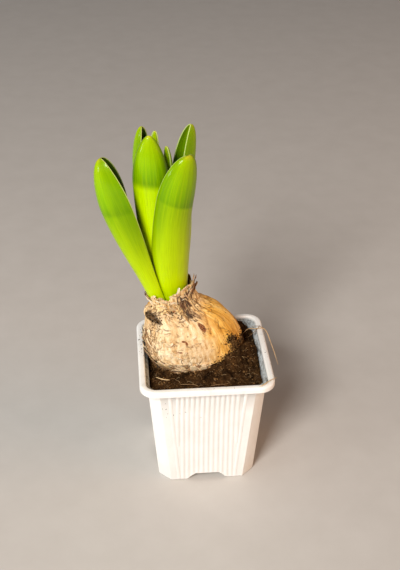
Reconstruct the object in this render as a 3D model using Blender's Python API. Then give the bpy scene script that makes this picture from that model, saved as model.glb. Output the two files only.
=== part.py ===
"""Potted hyacinth: a sprouting bulb with seven leaves, set in soil in a square nursery pot.

Metres, +Z up. Everything is laid out round the pot's own axis, and the whole is moved at the
end so that the origin is the centre of its footprint, on the plane that the pot stands on.
"""

from math import cos, exp, pi, radians, sin

import bmesh
import bpy
from mathutils import Matrix, Vector, noise

MM = 0.001
FIT_GAP = 0.3 * MM  # what rests on or in another piece stays this far from it

# Pot
RIM_WIDTH = 80.0 * MM
POT_HEIGHT = 76.5 * MM
BASE_WIDTH = 59.4 * MM
WALL_TOP_WIDTH = 70.4 * MM
WALL = 1.1 * MM
CORNER_CUT_BASE = 7.4 * MM
CORNER_CUT_TOP = 6.5 * MM
RIM_RADIUS = 10.0 * MM
RIM_SKIRT = 3.8 * MM
RIM_REACH = 4.0 * MM  # from the mouth's edge to the rim's outer face
SHOULDER = POT_HEIGHT - RIM_SKIRT - 0.9 * MM  # where the walls end and turn out into the rim
CORNER_STEPS = 6
WALL_ROUNDNESS = 0.12  # the walls' corners are nearly flat cuts, the rim's are full arcs

# Arches under the four sides, and the drain holes in the raised floor between the feet
ARCH_FOOT_WIDTH = 27.0 * MM
ARCH_TOP_WIDTH = 13.6 * MM
ARCH_HEIGHT = 4.5 * MM
ARCH_STEPS = 4
DRAIN_RADIUS = 2.6 * MM
DRAIN_OFFSET = 12.4 * MM
CENTRE_DRAIN_RADIUS = 4.0 * MM

# Ribs on the pot's four sides
RIB_PITCH = 3.0 * MM
RIB_COUNT = 15
RIB_WIDTH = 2.3 * MM
RIB_CROWN = 1.5 * MM
RIB_HEIGHT = 0.45 * MM
RIB_PANEL_BASE = 34.8 * MM
RIB_PANEL_TOP = 45.6 * MM
RIB_BOTTOM = 0.4 * MM

# Soil
SOIL_LEVEL = 70.0 * MM
SOIL_RISE = 1.8 * MM  # how much higher it lies at the right wall
SOIL_ROUGHNESS = 1.0 * MM
SOIL_CELLS = 27
# Heaps against the bulb: centre x, centre y, height and radius
MOUNDS = (
    (16.0 * MM, -4.0 * MM, 5.0 * MM, 13.0 * MM),
    (20.0 * MM, 30.0 * MM, 7.5 * MM, 9.0 * MM),
)

# Bulb: the sections of its outline, from the basal plate to the neck's torn edge.
# Each row is height, centre x, centre y, half width in x, half width in y, in mm.
BULB_SECTIONS = (
    (45.0, -2.0, 11.0, 7.0, 6.5),
    (46.5, -2.2, 11.0, 13.0, 11.5),
    (51.0, -2.8, 11.0, 21.5, 17.0),
    (59.0, -3.2, 11.0, 27.0, 21.0),
    (70.0, -3.4, 11.1, 29.1, 22.5),
    (77.5, -4.8, 11.2, 30.4, 22.7),
    (85.0, -5.9, 11.2, 29.6, 22.0),
    (93.0, -7.6, 11.2, 27.1, 20.4),
    (100.0, -10.4, 11.5, 23.2, 18.2),
    (105.0, -14.2, 11.8, 18.2, 15.8),
    (108.5, -17.3, 11.9, 16.4, 14.6),
    (112.0, -19.2, 11.7, 16.4, 14.8),
    (115.0, -20.4, 11.2, 17.0, 15.8),
)
BULB_SIDES = 60
BULB_RINGS = 22
WRINKLE_DEPTH = 1.1 * MM
WRINKLE_COUNT = 11
# The belly is fuller than an oval at the front left and flatter at the front right.
FRONT_LEFT_SWELL = 0.10
FRONT_RIGHT_HOLLOW = 0.07
BELLY_BOTTOM = 50.0 * MM
BELLY_TOP = 92.0 * MM

# Neck: the torn tunic's edge, and the hollow that the leaves stand in. The hollow's floor is an
# oval, given as centre x, centre y, half width in x and half width in y.
COLLAR = 0.8 * MM
HOLLOW_HEIGHTS = (114.0 * MM, 110.5 * MM, 107.0 * MM)
HOLLOW_FLOOR = (-17.0 * MM, 12.0 * MM, 13.8 * MM, 12.4 * MM)
FLOOR_HEIGHT = 102.6 * MM
TORN_HEIGHT = 3.2 * MM
TORN_FLARE = 1.0 * MM
TORN_TEETH = 11
EDGE_THICKNESS = COLLAR - 0.1 * MM

# Leaves
LEAF_ACROSS = 10
BLADE_STEPS = 9
TIP_STEPS = 9
TIP_START = 0.74  # where the blade begins to close into its hood, as a share of its length
MARGIN = 1.0 * MM  # thickness at the two margins
LEAF_FOOT = 103.0

# A leaf is a channel round a line that lies midway between its two margins. In millimetres:
#   path   four points on that line, from foot to tip, a third of the length apart
#   faces  compass angle of the leaf's back at foot and tip, in degrees from +X
#   half   half the distance between the margins, at the foot and above the neck
#   depth  from that line to the back, at the foot and above the neck
#   thick  thickness at the midrib
#   hood   how far the tip is drawn over from that line towards the back
#   point  how sharp the tip is: 0.5 rounds it like a ball, and more makes it pointed
#   full   thickness at the midrib where the leaf is shallow, as a share of the depth: above 1 the
#          hollow side bulges out and the leaf is a solid finger
LEAVES = {
    "leaf_left": dict(
        path=((-23.0, 8.6, LEAF_FOOT), (-30.6, 5.9, 138), (-38.2, 2.2, 172), (-50.6, 2.0, 208.9)),
        faces=(222, 178), half=(7.0, 9.0), depth=(4.9, 15.6),
        thick=2.6, full=0.85, hood=6.0, point=0.5),
    "leaf_front": dict(
        path=((-15.2, 10.8, LEAF_FOOT), (-18.8, 7.6, 138), (-17.2, 2.8, 174), (-10.2, -3.0, 210.8)),
        faces=(290, 300), half=(8.4, 11.9), depth=(6.2, 9.5),
        thick=2.6, full=0.85, hood=3.0, point=0.46),
    "leaf_middle": dict(
        path=((-17.5, 11.4, LEAF_FOOT), (-23.8, 9.5, 140), (-28.0, 6.5, 178), (-29.2, 6.6, 218)),
        faces=(268, 266), half=(5.5, 10.5), depth=(3.0, 7.0),
        thick=2.2, full=0.85, hood=2.5, point=0.62),
    "leaf_right_back": dict(
        path=((-11.3, 16.8, LEAF_FOOT), (-14.2, 16.8, 141), (-14.2, 18.5, 180), (-8.4, 18.0, 218.3)),
        faces=(45, 22), half=(4.2, 5.4), depth=(3.6, 11.0),
        thick=2.4, full=0.85, hood=3.5, point=0.5),
    "leaf_left_back": dict(
        path=((-22.5, 18.0, LEAF_FOOT), (-26.5, 18.0, 141), (-30.0, 19.0, 180), (-30.2, 17.0, 217.2)),
        faces=(130, 155), half=(5.0, 6.6), depth=(3.5, 8.4),
        thick=2.4, full=0.85, hood=3.0, point=0.5),
    "leaf_inner_back": dict(
        path=((-17.8, 17.0, LEAF_FOOT), (-23.5, 17.5, 141), (-26.0, 18.0, 180), (-25.7, 18.0, 214.6)),
        faces=(95, 80), half=(3.0, 3.3), depth=(2.5, 3.4),
        thick=6.0, full=1.4, hood=0.5, point=0.4),
    "leaf_inner_right": dict(
        path=((-12.0, 13.2, LEAF_FOOT), (-17.0, 13.5, 141), (-18.5, 12.5, 178), (-20.0, 11.0, 208.2)),
        faces=(30, 40), half=(3.0, 3.4), depth=(2.0, 3.0),
        thick=6.0, full=1.6, hood=0.5, point=0.4),
}


def clear_scene():
    for obj in list(bpy.data.objects):
        bpy.data.objects.remove(obj, do_unlink=True)


def make_material(name, colour, roughness, metallic=0.0):
    material = bpy.data.materials.new(name)
    material.use_nodes = True
    shader = material.node_tree.nodes["Principled BSDF"]
    shader.inputs["Base Color"].default_value = (*colour, 1.0)
    shader.inputs["Roughness"].default_value = roughness
    shader.inputs["Metallic"].default_value = metallic
    return material


def new_collection(name, hidden=False):
    collection = bpy.data.collections.new(name)
    bpy.context.scene.collection.children.link(collection)
    collection.hide_render = hidden
    return collection


def new_object(name, mesh, collection, material=None, cutter=False):
    obj = bpy.data.objects.new(name, mesh)
    collection.objects.link(obj)
    if material:
        mesh.materials.append(material)
    if cutter:
        obj.hide_render = True
        obj.display_type = "WIRE"
    return obj


def mesh_from(bm, name):
    bmesh.ops.recalc_face_normals(bm, faces=bm.faces)
    mesh = bpy.data.meshes.new(name)
    bm.to_mesh(mesh)
    bm.free()
    return mesh


def loft(name, rings):
    """A closed mesh through rings that all have the same number of points."""
    bm = bmesh.new()
    loops = [[bm.verts.new(point) for point in ring] for ring in rings]
    for lower, upper in zip(loops, loops[1:]):
        for i in range(len(lower)):
            j = (i + 1) % len(lower)
            bm.faces.new((lower[i], lower[j], upper[j], upper[i]))
    bm.faces.new(list(reversed(loops[0])))
    bm.faces.new(loops[-1])
    return mesh_from(bm, name)


def apply_boolean(obj, operation, other=None, collection=None):
    """Joins or cuts obj with one object or a whole collection, and makes the result its mesh."""
    modifier = obj.modifiers.new(operation.title(), "BOOLEAN")
    modifier.operation = operation
    modifier.solver = "EXACT"
    if collection:
        modifier.operand_type = "COLLECTION"
        modifier.collection = collection
    else:
        modifier.object = other
    graph = bpy.context.evaluated_depsgraph_get()
    mesh = bpy.data.meshes.new_from_object(obj.evaluated_get(graph))
    obj.modifiers.remove(modifier)
    obj.data = mesh


def discard(*objects):
    for obj in objects:
        bpy.data.objects.remove(obj, do_unlink=True)


def ease(value):
    value = min(1.0, max(0.0, value))
    return value * value * (3 - 2 * value)


def blend(low, high, share):
    return low + (high - low) * share


def read_rows(rows, height):
    """The row at a height, from rows that each start with theirs, on a smooth curve."""
    if height <= rows[0][0]:
        return rows[0][1:]
    for i in range(len(rows) - 1):
        below, above = rows[i], rows[i + 1]
        if height > above[0]:
            continue
        before = rows[max(i - 1, 0)]
        after = rows[min(i + 2, len(rows) - 1)]
        span = above[0] - below[0]
        share = (height - below[0]) / span
        values = []
        for k in range(1, len(below)):
            slope_in = (above[k] - before[k]) / (above[0] - before[0]) * span
            slope_out = (after[k] - below[k]) / (after[0] - below[0]) * span
            s2, s3 = share**2, share**3
            values.append(
                (2 * s3 - 3 * s2 + 1) * below[k]
                + (s3 - 2 * s2 + share) * slope_in
                + (3 * s2 - 2 * s3) * above[k]
                + (s3 - s2) * slope_out
            )
        return values
    return rows[-1][1:]


# Pot ------------------------------------------------------------------------------------------


def square_ring(half, cut, roundness, height):
    """A square section whose corners run from a flat cut (0) to a full arc (1)."""
    ring = []
    for quarter in range(4):
        turn = Matrix.Rotation(quarter * pi / 2, 3, "Z")
        for step in range(CORNER_STEPS + 1):
            share = step / CORNER_STEPS
            angle = share * pi / 2
            flat = Vector((half - cut * share, half - cut * (1 - share), 0))
            arc = Vector((half - cut * (1 - cos(angle)), half - cut * (1 - sin(angle)), 0))
            point = turn @ flat.lerp(arc, roundness)
            ring.append((point.x, point.y, height))
    return ring


def wall_half(height):
    """Half the width of the wall's outer face at a height."""
    return blend(BASE_WIDTH, WALL_TOP_WIDTH, height / (POT_HEIGHT - RIM_SKIRT)) / 2


def wall_cut(height):
    return blend(CORNER_CUT_BASE, CORNER_CUT_TOP, height / POT_HEIGHT)


def cup_rings():
    """The pot's skin: up the outside, over the rim and down the inside to the floor."""
    top = POT_HEIGHT
    rim = RIM_WIDTH / 2
    mouth = rim - RIM_REACH
    mouth_radius = RIM_RADIUS - RIM_REACH
    rows = [
        (wall_half(0) - 0.4 * MM, wall_cut(0), WALL_ROUNDNESS, 0.0),
        (wall_half(0), wall_cut(0), WALL_ROUNDNESS, 0.5 * MM),
        (wall_half(SHOULDER), wall_cut(SHOULDER), WALL_ROUNDNESS, SHOULDER),
        (mouth + 0.9 * MM, mouth_radius + 0.9 * MM, 0.8, top - 2.5 * MM),
        (mouth + 1.2 * MM, mouth_radius + 1.2 * MM, 1.0, top - 1.5 * MM),
        (rim - 1.6 * MM, RIM_RADIUS - 1.6 * MM, 1.0, top - 1.3 * MM),
        (rim - 1.0 * MM, RIM_RADIUS - 1.0 * MM, 1.0, top - 2.0 * MM),
        (rim - 0.9 * MM, RIM_RADIUS - 0.9 * MM, 1.0, top - RIM_SKIRT),
        (rim - 0.2 * MM, RIM_RADIUS - 0.2 * MM, 1.0, top - RIM_SKIRT),
        (rim, RIM_RADIUS, 1.0, top - RIM_SKIRT + 0.3 * MM),
        (rim, RIM_RADIUS, 1.0, top - 1.4 * MM),
        (rim - 0.4 * MM, RIM_RADIUS - 0.4 * MM, 1.0, top - 0.5 * MM),
        (rim - 1.3 * MM, RIM_RADIUS - 1.3 * MM, 1.0, top),
        (mouth + 0.9 * MM, mouth_radius + 0.9 * MM, 1.0, top),
        (mouth + 0.1 * MM, mouth_radius + 0.1 * MM, 1.0, top - 0.6 * MM),
        (mouth, mouth_radius, 0.9, top - 2.6 * MM),
        (wall_half(SHOULDER) - WALL, wall_cut(SHOULDER), WALL_ROUNDNESS, SHOULDER),
        (wall_half(WALL) - WALL, wall_cut(0), WALL_ROUNDNESS, 1.2 * MM),
    ]
    return [square_ring(*row) for row in rows]


def arch_outline(grow):
    """The arch's side view, widened and raised by grow, closed below the feet."""
    foot = ARCH_FOOT_WIDTH / 2 + grow
    crown = ARCH_TOP_WIDTH / 2 + grow
    right = []
    for step in range(ARCH_STEPS + 1):
        share = step / ARCH_STEPS
        across = blend(foot, crown, share)
        right.append((across, (ARCH_HEIGHT + grow) * ease(share)))
    left = [(-across, height) for across, height in reversed(right)]
    return right + left


def arch_prism(name, grow, half_length, drop, collection):
    """Two arch-shaped bars that cross under the floor, as one mesh."""
    outline = arch_outline(grow)
    side = [(across, height if height > 0 else -drop) for across, height in outline]
    bars = []
    for turn in (0.0, pi / 2):
        rings = [
            [(across, end * half_length, height) for across, height in side] for end in (-1, 1)
        ]
        bar = new_object(name, loft(name, rings), collection, cutter=True)
        bar.data.transform(Matrix.Rotation(turn, 4, "Z"))
        bars.append(bar)
    apply_boolean(bars[0], "UNION", bars[1])
    discard(bars[1])
    return bars[0]


def rib_bar(low, high, collection):
    """One rib on the +X face. low and high are its ends, as (offset along Y, height)."""
    bm = bmesh.new()
    bmesh.ops.create_cube(bm, size=1.0)
    for vert in bm.verts:
        outside = vert.co.x > 0
        across = (RIB_CROWN if outside else RIB_WIDTH) * vert.co.y
        offset, height = high if vert.co.z > 0 else low
        out = wall_half(height) + (RIB_HEIGHT if outside else -0.5 * WALL)
        vert.co = (out, offset + across, height)
    return new_object("rib", mesh_from(bm, "rib"), collection)


def rib_ends():
    """Every rib of one side, as its low and high end."""
    panel_top = POT_HEIGHT - RIM_SKIRT - 1.6 * MM
    low_half, high_half = RIB_PANEL_BASE / 2, RIB_PANEL_TOP / 2
    ends = []
    for i in range(RIB_COUNT):
        offset = (i - (RIB_COUNT - 1) / 2) * RIB_PITCH
        reach = abs(offset) + 0.8 * RIB_WIDTH
        start = max(0.0, (reach - low_half) / (high_half - low_half)) * panel_top
        if start < 0.9 * panel_top:
            ends.append(((offset, max(RIB_BOTTOM, start)), (offset, panel_top)))
    for side in (-1, 1):
        ends.append(((side * low_half, RIB_BOTTOM), (side * high_half, panel_top)))
    return ends


def build_pot(collection, cutters, material):
    pot = new_object("pot", loft("pot", cup_rings()), collection, material)
    bridge_reach = wall_half(0) - 0.5 * WALL
    bridge = arch_prism("bridge", WALL, bridge_reach, 0.0, cutters)
    apply_boolean(pot, "UNION", bridge)
    ribs = new_collection("ribs", hidden=True)
    for quarter in range(4):
        for low, high in rib_ends():
            rib = rib_bar(low, high, ribs)
            rib.data.transform(Matrix.Rotation(quarter * pi / 2, 4, "Z"))
    apply_boolean(pot, "UNION", collection=ribs)
    discard(*list(ribs.objects))
    bpy.data.collections.remove(ribs)
    channel = arch_prism("channel", 0.0, RIM_WIDTH, 2 * MM, cutters)
    apply_boolean(pot, "DIFFERENCE", channel)
    discard(bridge, channel)
    drains = [(CENTRE_DRAIN_RADIUS, 0.0, 0.0)]
    for x in (-1, 1):
        for y in (-1, 1):
            drains.append((DRAIN_RADIUS, x * DRAIN_OFFSET, y * DRAIN_OFFSET))
    for radius, x, y in drains:
        bm = bmesh.new()
        bmesh.ops.create_cone(
            bm, cap_ends=True, segments=16, radius1=radius, radius2=radius, depth=20 * MM,
            matrix=Matrix.Translation((x, y, 0)))
        drain = new_object("drain", mesh_from(bm, "drain"), cutters, cutter=True)
        apply_boolean(pot, "DIFFERENCE", drain)
        discard(drain)
    return pot


# Bulb -----------------------------------------------------------------------------------------


def bump(angle, centre, width):
    """1 at centre, falling off on both sides, round the circle."""
    away = (angle - centre + pi) % (2 * pi) - pi
    return exp(-((away / width) ** 2))


def bulb_swell(angle, height):
    """The share by which the belly stands outside an oval section at this angle."""
    share = ease((height - BELLY_BOTTOM) / (12 * MM)) * (1 - ease((height - BELLY_TOP) / (14 * MM)))
    swell = FRONT_LEFT_SWELL * bump(angle, radians(228), radians(29))
    hollow = FRONT_RIGHT_HOLLOW * bump(angle, radians(312), radians(26))
    return share * (swell - hollow)


def wrinkles(angle, height):
    """0 to 1: the creases that run from the neck down the tunic, deepest near the neck."""
    sway = 0.5 * noise.noise(Vector((cos(angle) * 1.3, sin(angle) * 1.3, height / (22 * MM))))
    crease = (0.5 + 0.5 * sin(WRINKLE_COUNT * angle + 5 * sway + 40 * height)) ** 2
    patch = 0.5 + 0.5 * noise.noise(Vector((cos(angle) * 2.1, sin(angle) * 2.1, height / (9 * MM))))
    return (0.35 + 0.65 * ease((height - 62 * MM) / (30 * MM))) * crease * patch


def bulb_ring(height, depth=WRINKLE_DEPTH, grow=0.0):
    centre_x, centre_y, half_x, half_y = (
        value * MM for value in read_rows(BULB_SECTIONS, height / MM)
    )
    ring = []
    for i in range(BULB_SIDES):
        angle = 2 * pi * i / BULB_SIDES
        swell = 1 + bulb_swell(angle, height)
        inset = grow - depth * wrinkles(angle, height)
        x = centre_x + (half_x * swell + inset) * cos(angle)
        y = centre_y + (half_y * swell + inset) * sin(angle)
        ring.append((x, y, height))
    return ring


def bulb_heights():
    """Heights of the bulb's sections, closer together where it rounds under."""
    low = BULB_SECTIONS[0][0] * MM
    high = BULB_SECTIONS[-1][0] * MM
    return [blend(low, high, (i / BULB_RINGS) ** 1.25) for i in range(BULB_RINGS + 1)]


def torn_edge(angle):
    """0 to 1: the ragged height of the neck's papery edge."""
    teeth = abs(sin(0.5 * TORN_TEETH * angle + 1.1 * sin(3 * angle)))
    return teeth * (0.55 + 0.45 * sin(2 * angle + 0.6))


def floor_ring():
    centre_x, centre_y, half_x, half_y = HOLLOW_FLOOR
    ring = []
    for i in range(BULB_SIDES):
        angle = 2 * pi * i / BULB_SIDES
        ring.append((centre_x + half_x * cos(angle), centre_y + half_y * sin(angle), FLOOR_HEIGHT))
    return ring


def torn_ring(inset):
    """The neck's edge, raised into ragged teeth."""
    ring = []
    for i, (x, y, z) in enumerate(bulb_ring(BULB_SECTIONS[-1][0] * MM, 0.0, TORN_FLARE - inset)):
        ring.append((x, y, z + TORN_HEIGHT * torn_edge(2 * pi * i / BULB_SIDES)))
    return ring


def build_bulb(collection, material):
    inner = WRINKLE_DEPTH + COLLAR
    rings = [bulb_ring(height) for height in bulb_heights()]
    rings.append(torn_ring(WRINKLE_DEPTH))
    rings.append(torn_ring(WRINKLE_DEPTH + EDGE_THICKNESS))
    rings.extend(bulb_ring(height, 0.0, -inner) for height in HOLLOW_HEIGHTS)
    rings.append(floor_ring())
    return new_object("bulb", loft("bulb", rings), collection, material)


# Soil -----------------------------------------------------------------------------------------


def soil_height(x, y):
    clods = noise.noise(Vector((x, y, 0.0)) / (6.5 * MM)) + 0.6 * noise.noise(
        Vector((x, y, 9 * MM)) / (2.9 * MM))
    height = SOIL_LEVEL + SOIL_RISE * x / (RIM_WIDTH / 2) + SOIL_ROUGHNESS * clods
    for centre_x, centre_y, rise, radius in MOUNDS:
        away_squared = (x - centre_x) ** 2 + (y - centre_y) ** 2
        height += rise * exp(-away_squared / radius**2)
    return height


def build_soil(collection, cutters, material):
    mouth = RIM_WIDTH / 2 - RIM_REACH - 1.5 * FIT_GAP
    mouth_radius = RIM_RADIUS - RIM_REACH
    rings = []
    for height in (1.2 * MM + FIT_GAP, SHOULDER):
        half = wall_half(height) - WALL - FIT_GAP
        rings.append(square_ring(half, wall_cut(height), WALL_ROUNDNESS, height))
    rings.append(square_ring(mouth, mouth_radius, 0.9, POT_HEIGHT - 2.4 * MM))
    rings.append(square_ring(mouth, mouth_radius, 0.9, POT_HEIGHT + 10 * MM))
    soil = new_object("soil", loft("soil", rings), collection, material)
    bm = bmesh.new()
    bmesh.ops.create_grid(bm, x_segments=SOIL_CELLS, y_segments=SOIL_CELLS, size=RIM_WIDTH / 2)
    top_faces = list(bm.faces)
    sides = bmesh.ops.extrude_face_region(bm, geom=top_faces)
    raised = [item for item in sides["geom"] if isinstance(item, bmesh.types.BMVert)]
    for vert in raised:
        vert.co.z = soil_height(vert.co.x, vert.co.y)
    for vert in bm.verts:
        if vert not in raised:
            vert.co.z = -5 * MM
    inner = [f for f in bm.faces if all(v.co.z < 0 for v in f.verts)]
    outline = [e for e in bm.edges if sum(f in inner for f in e.link_faces) == 1]
    bmesh.ops.delete(bm, geom=inner, context="FACES")
    bmesh.ops.contextual_create(bm, geom=outline)
    ground = new_object("ground", mesh_from(bm, "ground"), cutters, cutter=True)
    apply_boolean(soil, "INTERSECT", ground)
    bridge = arch_prism("bridge_room", WALL + FIT_GAP, RIM_WIDTH, 2 * MM, cutters)
    apply_boolean(soil, "DIFFERENCE", bridge)
    rings = []
    for height in bulb_heights():
        ring = bulb_ring(height, 0.0, 1.3 * FIT_GAP)
        rings.append([(x, y, z - FIT_GAP) for x, y, z in ring])
    bed = new_object("bulb_room", loft("bulb_room", rings), cutters, cutter=True)
    apply_boolean(soil, "DIFFERENCE", bed)
    discard(ground, bridge, bed)
    return soil


# Leaves ---------------------------------------------------------------------------------------


def path_point(path, share):
    """A point on the smooth curve that passes each of the four path points at a third."""
    a, b, c, d = (Vector(point) * MM for point in path)
    first, second, last = share - 1 / 3, share - 2 / 3, share - 1
    return (
        a * (-4.5 * first * second * last)
        + b * (13.5 * share * second * last)
        + c * (-13.5 * share * first * last)
        + d * (4.5 * share * first * second)
    )


def leaf_stations():
    """Shares of the length for the leaf's sections, closer together where the tip rounds over."""
    blade = [TIP_START * i / BLADE_STEPS for i in range(BLADE_STEPS)]
    tip = [TIP_START + (1 - TIP_START) * sin(radians(86) * i / TIP_STEPS)
           for i in range(TIP_STEPS + 1)]
    return blade + tip


def leaf_ring(shape, share):
    """A crescent section: its back from margin to margin, then its hollow side."""
    centre = path_point(shape["path"], share)
    step = 0.01
    along = (path_point(shape["path"], share + step) - centre).normalized()
    facing = radians(blend(*shape["faces"], share))
    out = Vector((cos(facing), sin(facing), 0.0))
    out = (out - along * out.dot(along) * ease(share / 0.15)).normalized()
    side = Vector((-sin(facing), cos(facing), 0.0))
    closing = max(0.0, (share - TIP_START) / (1 - TIP_START))
    taper = (1 - closing**2) ** shape["point"]
    centre = centre + out * shape["hood"] * MM * (1 - taper)
    half = blend(*shape["half"], ease(share / 0.5)) * taper * MM
    depth = blend(*shape["depth"], ease(share / 0.45)) * taper * MM
    inner_half = half - min(MARGIN, 0.45 * half)
    inner_depth = depth - min(shape["thick"] * MM, shape["full"] * depth)
    back, hollow = [], []
    for i in range(LEAF_ACROSS + 1):
        turn = pi * (i / LEAF_ACROSS - 0.5)
        back.append(centre + side * half * sin(turn) + out * depth * cos(turn))
        hollow.append(centre + side * inner_half * sin(turn) + out * inner_depth * cos(turn))
    return back, hollow


def build_leaf(name, shape, collection, material):
    bm = bmesh.new()
    sheets = []
    for share in leaf_stations():
        back, hollow = leaf_ring(shape, share)
        sheets.append(([bm.verts.new(p) for p in back], [bm.verts.new(p) for p in hollow]))
    for (back, hollow), (next_back, next_hollow) in zip(sheets, sheets[1:]):
        for i in range(LEAF_ACROSS):
            bm.faces.new((back[i], back[i + 1], next_back[i + 1], next_back[i]))
            bm.faces.new((hollow[i + 1], hollow[i], next_hollow[i], next_hollow[i + 1]))
        for i in (0, LEAF_ACROSS):
            bm.faces.new((back[i], next_back[i], next_hollow[i], hollow[i]))
    for back, hollow in (sheets[0], sheets[-1]):
        for i in range(LEAF_ACROSS):
            bm.faces.new((back[i], back[i + 1], hollow[i + 1], hollow[i]))
    return new_object(name, mesh_from(bm, name), collection, material)


def centre_footprint(objects, collection):
    """Hangs every piece on an empty, moved so that the footprint's centre is the origin."""
    corners = [obj.matrix_world @ Vector(corner) for obj in objects for corner in obj.bound_box]
    middle = [
        (min(c[axis] for c in corners) + max(c[axis] for c in corners)) / 2 for axis in (0, 1)
    ]
    stand = bpy.data.objects.new("stand", None)
    collection.objects.link(stand)
    for obj in objects:
        obj.parent = stand
    stand.location = (-middle[0], -middle[1], 0.0)


def main():
    clear_scene()
    plant = new_collection("potted_hyacinth")
    cutters = new_collection("cutters", hidden=True)
    plastic = make_material("white_plastic", (0.90, 0.88, 0.83), 0.45)
    peat = make_material("peat_soil", (0.055, 0.033, 0.020), 0.95)
    tunic = make_material("bulb_tunic", (0.80, 0.60, 0.36), 0.75)
    green = make_material("leaf_green", (0.36, 0.58, 0.03), 0.35)
    objects = [
        build_pot(plant, cutters, plastic),
        build_soil(plant, cutters, peat),
        build_bulb(plant, tunic),
    ]
    for name, shape in LEAVES.items():
        objects.append(build_leaf(name, shape, plant, green))
    for obj in objects:
        obj.data.shade_smooth()
        obj.data.set_sharp_from_angle(angle=radians(35))
    centre_footprint(objects, plant)


main()
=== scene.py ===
import random
from math import cos, exp, hypot, pi, radians, sin

import bmesh
import bpy
from mathutils import Matrix, Vector, noise


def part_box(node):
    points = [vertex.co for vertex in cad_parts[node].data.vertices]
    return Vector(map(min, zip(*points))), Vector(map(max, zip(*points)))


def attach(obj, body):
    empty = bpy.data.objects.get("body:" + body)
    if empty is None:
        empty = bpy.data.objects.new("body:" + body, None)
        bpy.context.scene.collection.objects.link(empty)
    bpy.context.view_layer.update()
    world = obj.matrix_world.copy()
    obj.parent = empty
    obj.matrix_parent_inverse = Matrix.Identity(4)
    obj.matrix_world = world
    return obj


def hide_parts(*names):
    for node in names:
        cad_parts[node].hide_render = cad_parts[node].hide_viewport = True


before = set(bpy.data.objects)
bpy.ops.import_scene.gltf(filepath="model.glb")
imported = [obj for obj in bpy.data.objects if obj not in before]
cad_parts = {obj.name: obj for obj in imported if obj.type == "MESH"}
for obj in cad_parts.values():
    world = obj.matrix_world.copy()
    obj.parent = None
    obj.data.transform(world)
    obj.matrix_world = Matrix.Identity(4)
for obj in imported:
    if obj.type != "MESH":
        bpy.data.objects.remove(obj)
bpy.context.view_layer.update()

mm = 0.001
potLow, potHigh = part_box("pot")
potAxis = Vector(((potLow.x + potHigh.x) / 2, (potLow.y + potHigh.y) / 2, 0.0))


def ease(value):
    value = min(1.0, max(0.0, value))
    return value * value * (3 - 2 * value)


def between(low, high, share):
    return low + (high - low) * share


def rise(value, low, high):
    return ease((value - low) / (high - low))


def bump(angle, centre, width):  # 1 at the centre, falling off round the circle, all in radians
    away = (angle - centre + pi) % (2 * pi) - pi
    return exp(-((away / width) ** 2))


def noiseAt(x, y, z, size=1):
    return noise.noise(Vector((x, y, z)) / size)


def readRows(rows, height):  # a smooth curve through rows that each start with their height
    if height <= rows[0][0]:
        return rows[0][1:]
    for i in range(len(rows) - 1):
        below, above = rows[i], rows[i + 1]
        if height > above[0]:
            continue
        before, after = rows[max(i - 1, 0)], rows[min(i + 2, len(rows) - 1)]
        span = above[0] - below[0]
        share = (height - below[0]) / span
        s2, s3 = share**2, share**3
        values = []
        for k in range(1, len(below)):
            slopeIn = (above[k] - before[k]) / (above[0] - before[0]) * span
            slopeOut = (after[k] - below[k]) / (after[0] - below[0]) * span
            values.append((2 * s3 - 3 * s2 + 1) * below[k] + (s3 - 2 * s2 + share) * slopeIn
                          + (3 * s2 - 2 * s3) * above[k] + (s3 - s2) * slopeOut)
        return values
    return rows[-1][1:]


def storeMarks(mesh, marks):  # marks: name to one number, or one triple, for each point
    for name, values in marks.items():
        if isinstance(values[0], (int, float)):
            mesh.attributes.new(name, "FLOAT", "POINT").data.foreach_set("value", values)
        else:
            flat = [number for triple in values for number in triple]
            mesh.attributes.new(name, "FLOAT_VECTOR", "POINT").data.foreach_set("vector", flat)


def gridMesh(name, grids, marks=None, closed=True):
    # a skin through each grid's rows of points. A closed one goes round, with a cap at each end
    points, faces = [], []
    for rows in grids:
        first, count = len(points), len(rows[0])
        points += [point for row in rows for point in row]
        for low in range(first, len(points) - count, count):
            for i in range(count if closed else count - 1):
                j = (i + 1) % count
                faces.append((low + i, low + j, low + count + j, low + count + i))
        if closed:
            faces.append(tuple(reversed(range(first, first + count))))
            faces.append(tuple(range(len(points) - count, len(points))))
    mesh = bpy.data.meshes.new(name)
    mesh.from_pydata(points, [], faces)
    storeMarks(mesh, marks or {})
    mesh.update()
    return mesh


def turnOut(mesh):  # its faces point outwards
    bm = bmesh.new()
    bm.from_mesh(mesh)
    bmesh.ops.recalc_face_normals(bm, faces=bm.faces)
    bm.to_mesh(mesh)
    bm.free()
    return mesh


def newObject(name, mesh, onAxis=True):  # places round the pot's axis are moved to the row's
    if onAxis:
        mesh.transform(Matrix.Translation(potAxis))
    obj = bpy.data.objects.new(name, mesh)
    bpy.context.scene.collection.objects.link(obj)
    return obj


def applied(obj):  # the object with its modifiers worked into its mesh
    graph = bpy.context.evaluated_depsgraph_get()
    mesh = bpy.data.meshes.new_from_object(obj.evaluated_get(graph))
    obj.modifiers.clear()
    obj.data = mesh
    return obj


def cutOrJoin(obj, operation, other):
    modifier = obj.modifiers.new(operation.title(), "BOOLEAN")
    modifier.operation = operation
    modifier.solver = "EXACT"
    modifier.object = other
    applied(obj)
    bpy.data.objects.remove(other)


def showPiece(obj, material, slot, *nodes, sharp=None):
    obj.data.materials.clear()
    obj.data.materials.append(material)
    obj.data.shade_smooth()
    if sharp:
        obj.data.set_sharp_from_angle(angle=radians(sharp))
    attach(obj, "root")
    if nodes:
        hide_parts(*nodes)
    print(obj.name, "made:", len(obj.data.polygons), "faces")


# nodes, for materials and geometry trees

def isWire(value):
    return isinstance(value, bpy.types.NodeSocket)


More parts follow.
